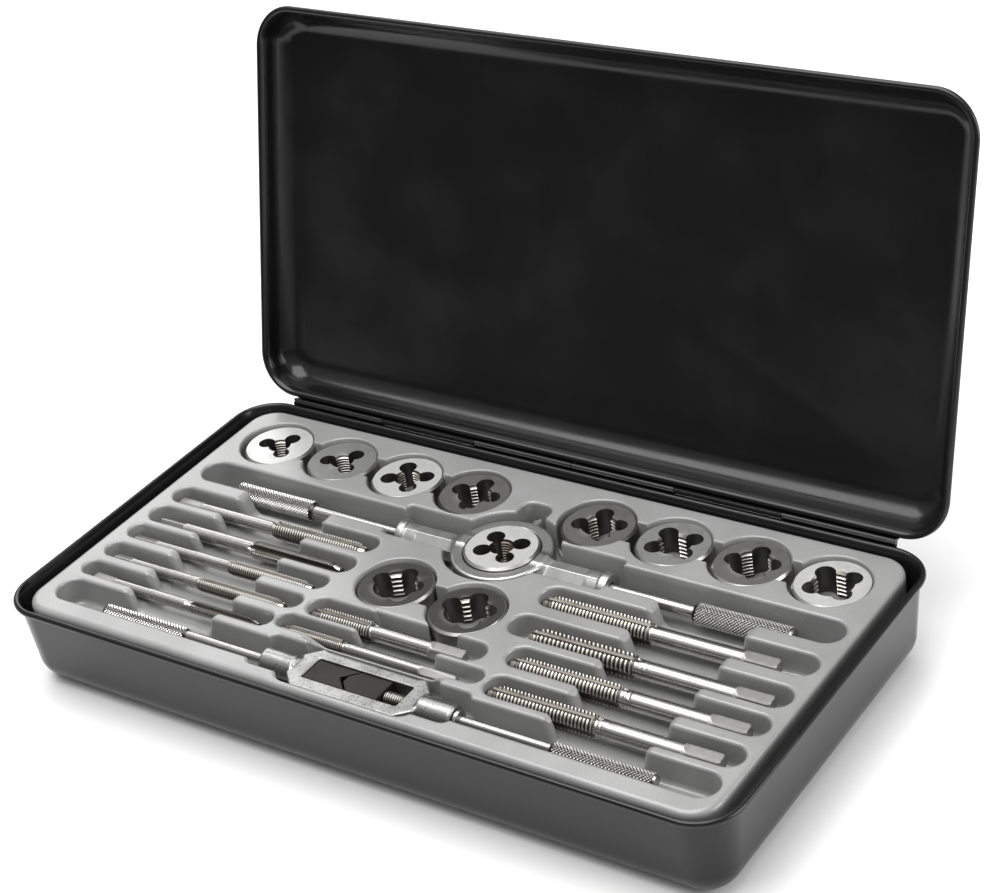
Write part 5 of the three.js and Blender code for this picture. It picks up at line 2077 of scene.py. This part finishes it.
    def build(self, finishes: Finishes, mount: Mount) -> None:
        """Makes the wrench.

        Args:
            finishes: The materials.
            mount: Hangs the pieces.
        """
        place = moved(*WRENCH_PLACE)
        low = tuple(-side for side in self.BOX)
        body = Carving(self.frame_field, low, self.BOX, self.STEP, 0.01).draft()
        mount.hang(body.build("wrench_casting", [finishes.wrench_casting]), "wrench",
                   "wrench_frame", "cast_metal", place)
        for name, field, carrier, node in (
            ("jaw_with_vee", self.fixed_jaw_field, "wrench", "wrench_fixed_jaw"),
            ("jaw_with_nose", self.sliding_jaw_field, "wrench_jaw", "wrench_sliding_jaw"),
        ):
            jaw = Carving(field, self.JAW_LOW, self.JAW_HIGH, self.JAW_STEP, 0.004).draft()
            mount.hang(jaw.build(name, [finishes.jaw]), carrier, node, "jaw_steel", place)
        mount.hang(self._screw_handle(finishes), "wrench_screw", "wrench_screw_handle",
                   "bright_steel", place)
        fixed = self.GRIP(grip_start=self.FIXED_GRIP_START).build("wrench_fixed_grip", finishes)
        mount.hang(fixed, "wrench", "wrench_fixed_handle", "bright_steel",
                   place @ moved(self.rod_end) @ turned(math.pi))


# Studio


@dataclass(frozen=True)
class Softbox:
    """A rectangular lamp that faces the case, in metres and watts, and doesn't show itself."""

    name: str
    place: Point
    size: tuple[float, float]
    power: float

    AIM: ClassVar[Point] = (0.0, 0.0, 0.03)

    def add(self) -> None:
        """Adds the lamp."""
        data = bpy.data.lights.new(self.name, "AREA")
        data.shape = "RECTANGLE"
        data.size, data.size_y = self.size
        data.energy = self.power
        lamp = bpy.data.objects.new(self.name, data)
        lamp.location = self.place
        back = Vector(self.place) - Vector(self.AIM)
        lamp.rotation_euler = back.to_track_quat("Z", "Y").to_euler()
        lamp.visible_camera = False
        bpy.context.scene.collection.objects.link(lamp)


@dataclass
class Studio:
    """A white board, a dim room, soft lights, and a camera where the photograph was taken from.

    Attributes:
        aim: The point in the middle of the picture, in millimetres.
        azimuth: Angle of the view, from the front round to the right.
        focal: Focal length in pixels of the picture.
        card: Left, right, front and top of the dark card, in metres.
        dim: Brightness of the room underfoot.
    """

    aim: Point = (-31.49, 74.76, TRAY_TOP)
    distance: float = 812.15
    azimuth: float = 37.88
    elevation: float = 31.11
    roll: float = -8.67
    focal: float = 2355.91
    picture_width: float = 1000.0
    sensor: float = 36.0
    board_half: float = 4.0
    card: tuple[float, float, float, float] = (-0.65, 0.0, -0.38, 0.26)
    dim: float = 0.16
    room_light: float = 0.85

    SOFTBOXES: ClassVar[tuple[Softbox, ...]] = (
        Softbox("top_softbox", (-0.15, -0.1, 1.1), (1.2, 0.9), 16.0),
        Softbox("back_softbox", (-0.85, 1.15, 0.85), (1.3, 0.8), 8.0),
        Softbox("side_softbox", (1.1, 0.35, 0.45), (0.8, 0.8), 9.0),
    )
    CLIP: ClassVar[tuple[float, float]] = (0.01, 50.0)

    def _camera(self) -> None:
        """Adds the camera."""
        data = bpy.data.cameras.new("view_camera")
        data.sensor_fit = "HORIZONTAL"
        data.sensor_width = self.sensor
        data.lens = self.focal / self.picture_width * self.sensor
        data.clip_start, data.clip_end = self.CLIP
        camera = bpy.data.objects.new("view_camera", data)
        azimuth, elevation = math.radians(self.azimuth), math.radians(self.elevation)
        back = Vector((math.sin(azimuth) * math.cos(elevation),
                       -math.cos(azimuth) * math.cos(elevation), math.sin(elevation)))
        facing = back.to_track_quat("Z", "Y").to_matrix().to_4x4()
        place = moved(*((Vector(self.aim) + back * self.distance) * MM))
        camera.matrix_world = place @ facing @ turned(math.radians(self.roll))
        bpy.context.scene.collection.objects.link(camera)
        bpy.context.scene.camera = camera

    def _room(self) -> None:
        """Makes the room, which gets lighter overhead."""
        bench = Bench(bpy.data.worlds.new("studio_room"))
        place = bench.node("ShaderNodeTexCoord", output="Generated")
        height = bench.node("ShaderNodeSeparateXYZ", None, {0: place}, "Z")
        grey = bench.node("ShaderNodeValToRGB", {"stops": ((0.0, self.dim), (1.0, 1.0))},
                          {0: height})
        light = bench.node("ShaderNodeBackground", None,
                           {"Color": grey, "Strength": self.room_light})
        bench.close(light, "ShaderNodeOutputWorld")
        bpy.context.scene.world = bench.owner

    @staticmethod
    def _sheet(name: str, corners: Sequence[Point], finish: Finish) -> Piece:
        """Adds a flat sheet that belongs to the studio.

        Args:
            name: Its name.
            corners: Its four corners, in metres.
            finish: Its material.

        Returns:
            The sheet.
        """
        mesh = bpy.data.meshes.new(name)
        mesh.from_pydata(corners, [], [(0, 1, 2, 3)])
        mesh.materials.append(finish)
        sheet = bpy.data.objects.new(name, mesh)
        bpy.context.scene.collection.objects.link(sheet)
        return sheet

    def build(self, finishes: Finishes) -> None:
        """Sets the studio up, with a dark card beside it for the open lid to reflect.

        Args:
            finishes: The materials.
        """
        self._camera()
        self._room()
        for softbox in self.SOFTBOXES:
            softbox.add()
        half = self.board_half
        corners = [(-half, -half, 0), (half, -half, 0), (half, half, 0), (-half, half, 0)]
        self._sheet("pale_board", corners, finishes.floor)
        left, right, y, top = self.card
        corners = [(left, y, 0), (right, y, 0), (right, y, top), (left, y, top)]
        card = self._sheet("dark_card", corners, finishes.card)
        card.visible_camera = card.visible_diffuse = card.visible_shadow = False
        bpy.context.scene.view_settings.view_transform = "Standard"


def main() -> None:
    """Builds the case, its tools and the studio."""
    logging.basicConfig(level=logging.INFO, format="%(name)s: %(message)s")
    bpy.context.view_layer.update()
    finishes, mount = Finishes(), Mount()
    TinCase().build(finishes, mount)
    Tray().build(finishes, mount)
    for die in DIES:
        RoundDie(die).build(finishes, mount)
    for tap in TAPS:
        HandTap(tap).build(finishes, mount)
    DieStock().build(finishes, mount)
    TapWrench().build(finishes, mount)
    Studio().build(finishes)


if __name__ == "__main__":
    main()
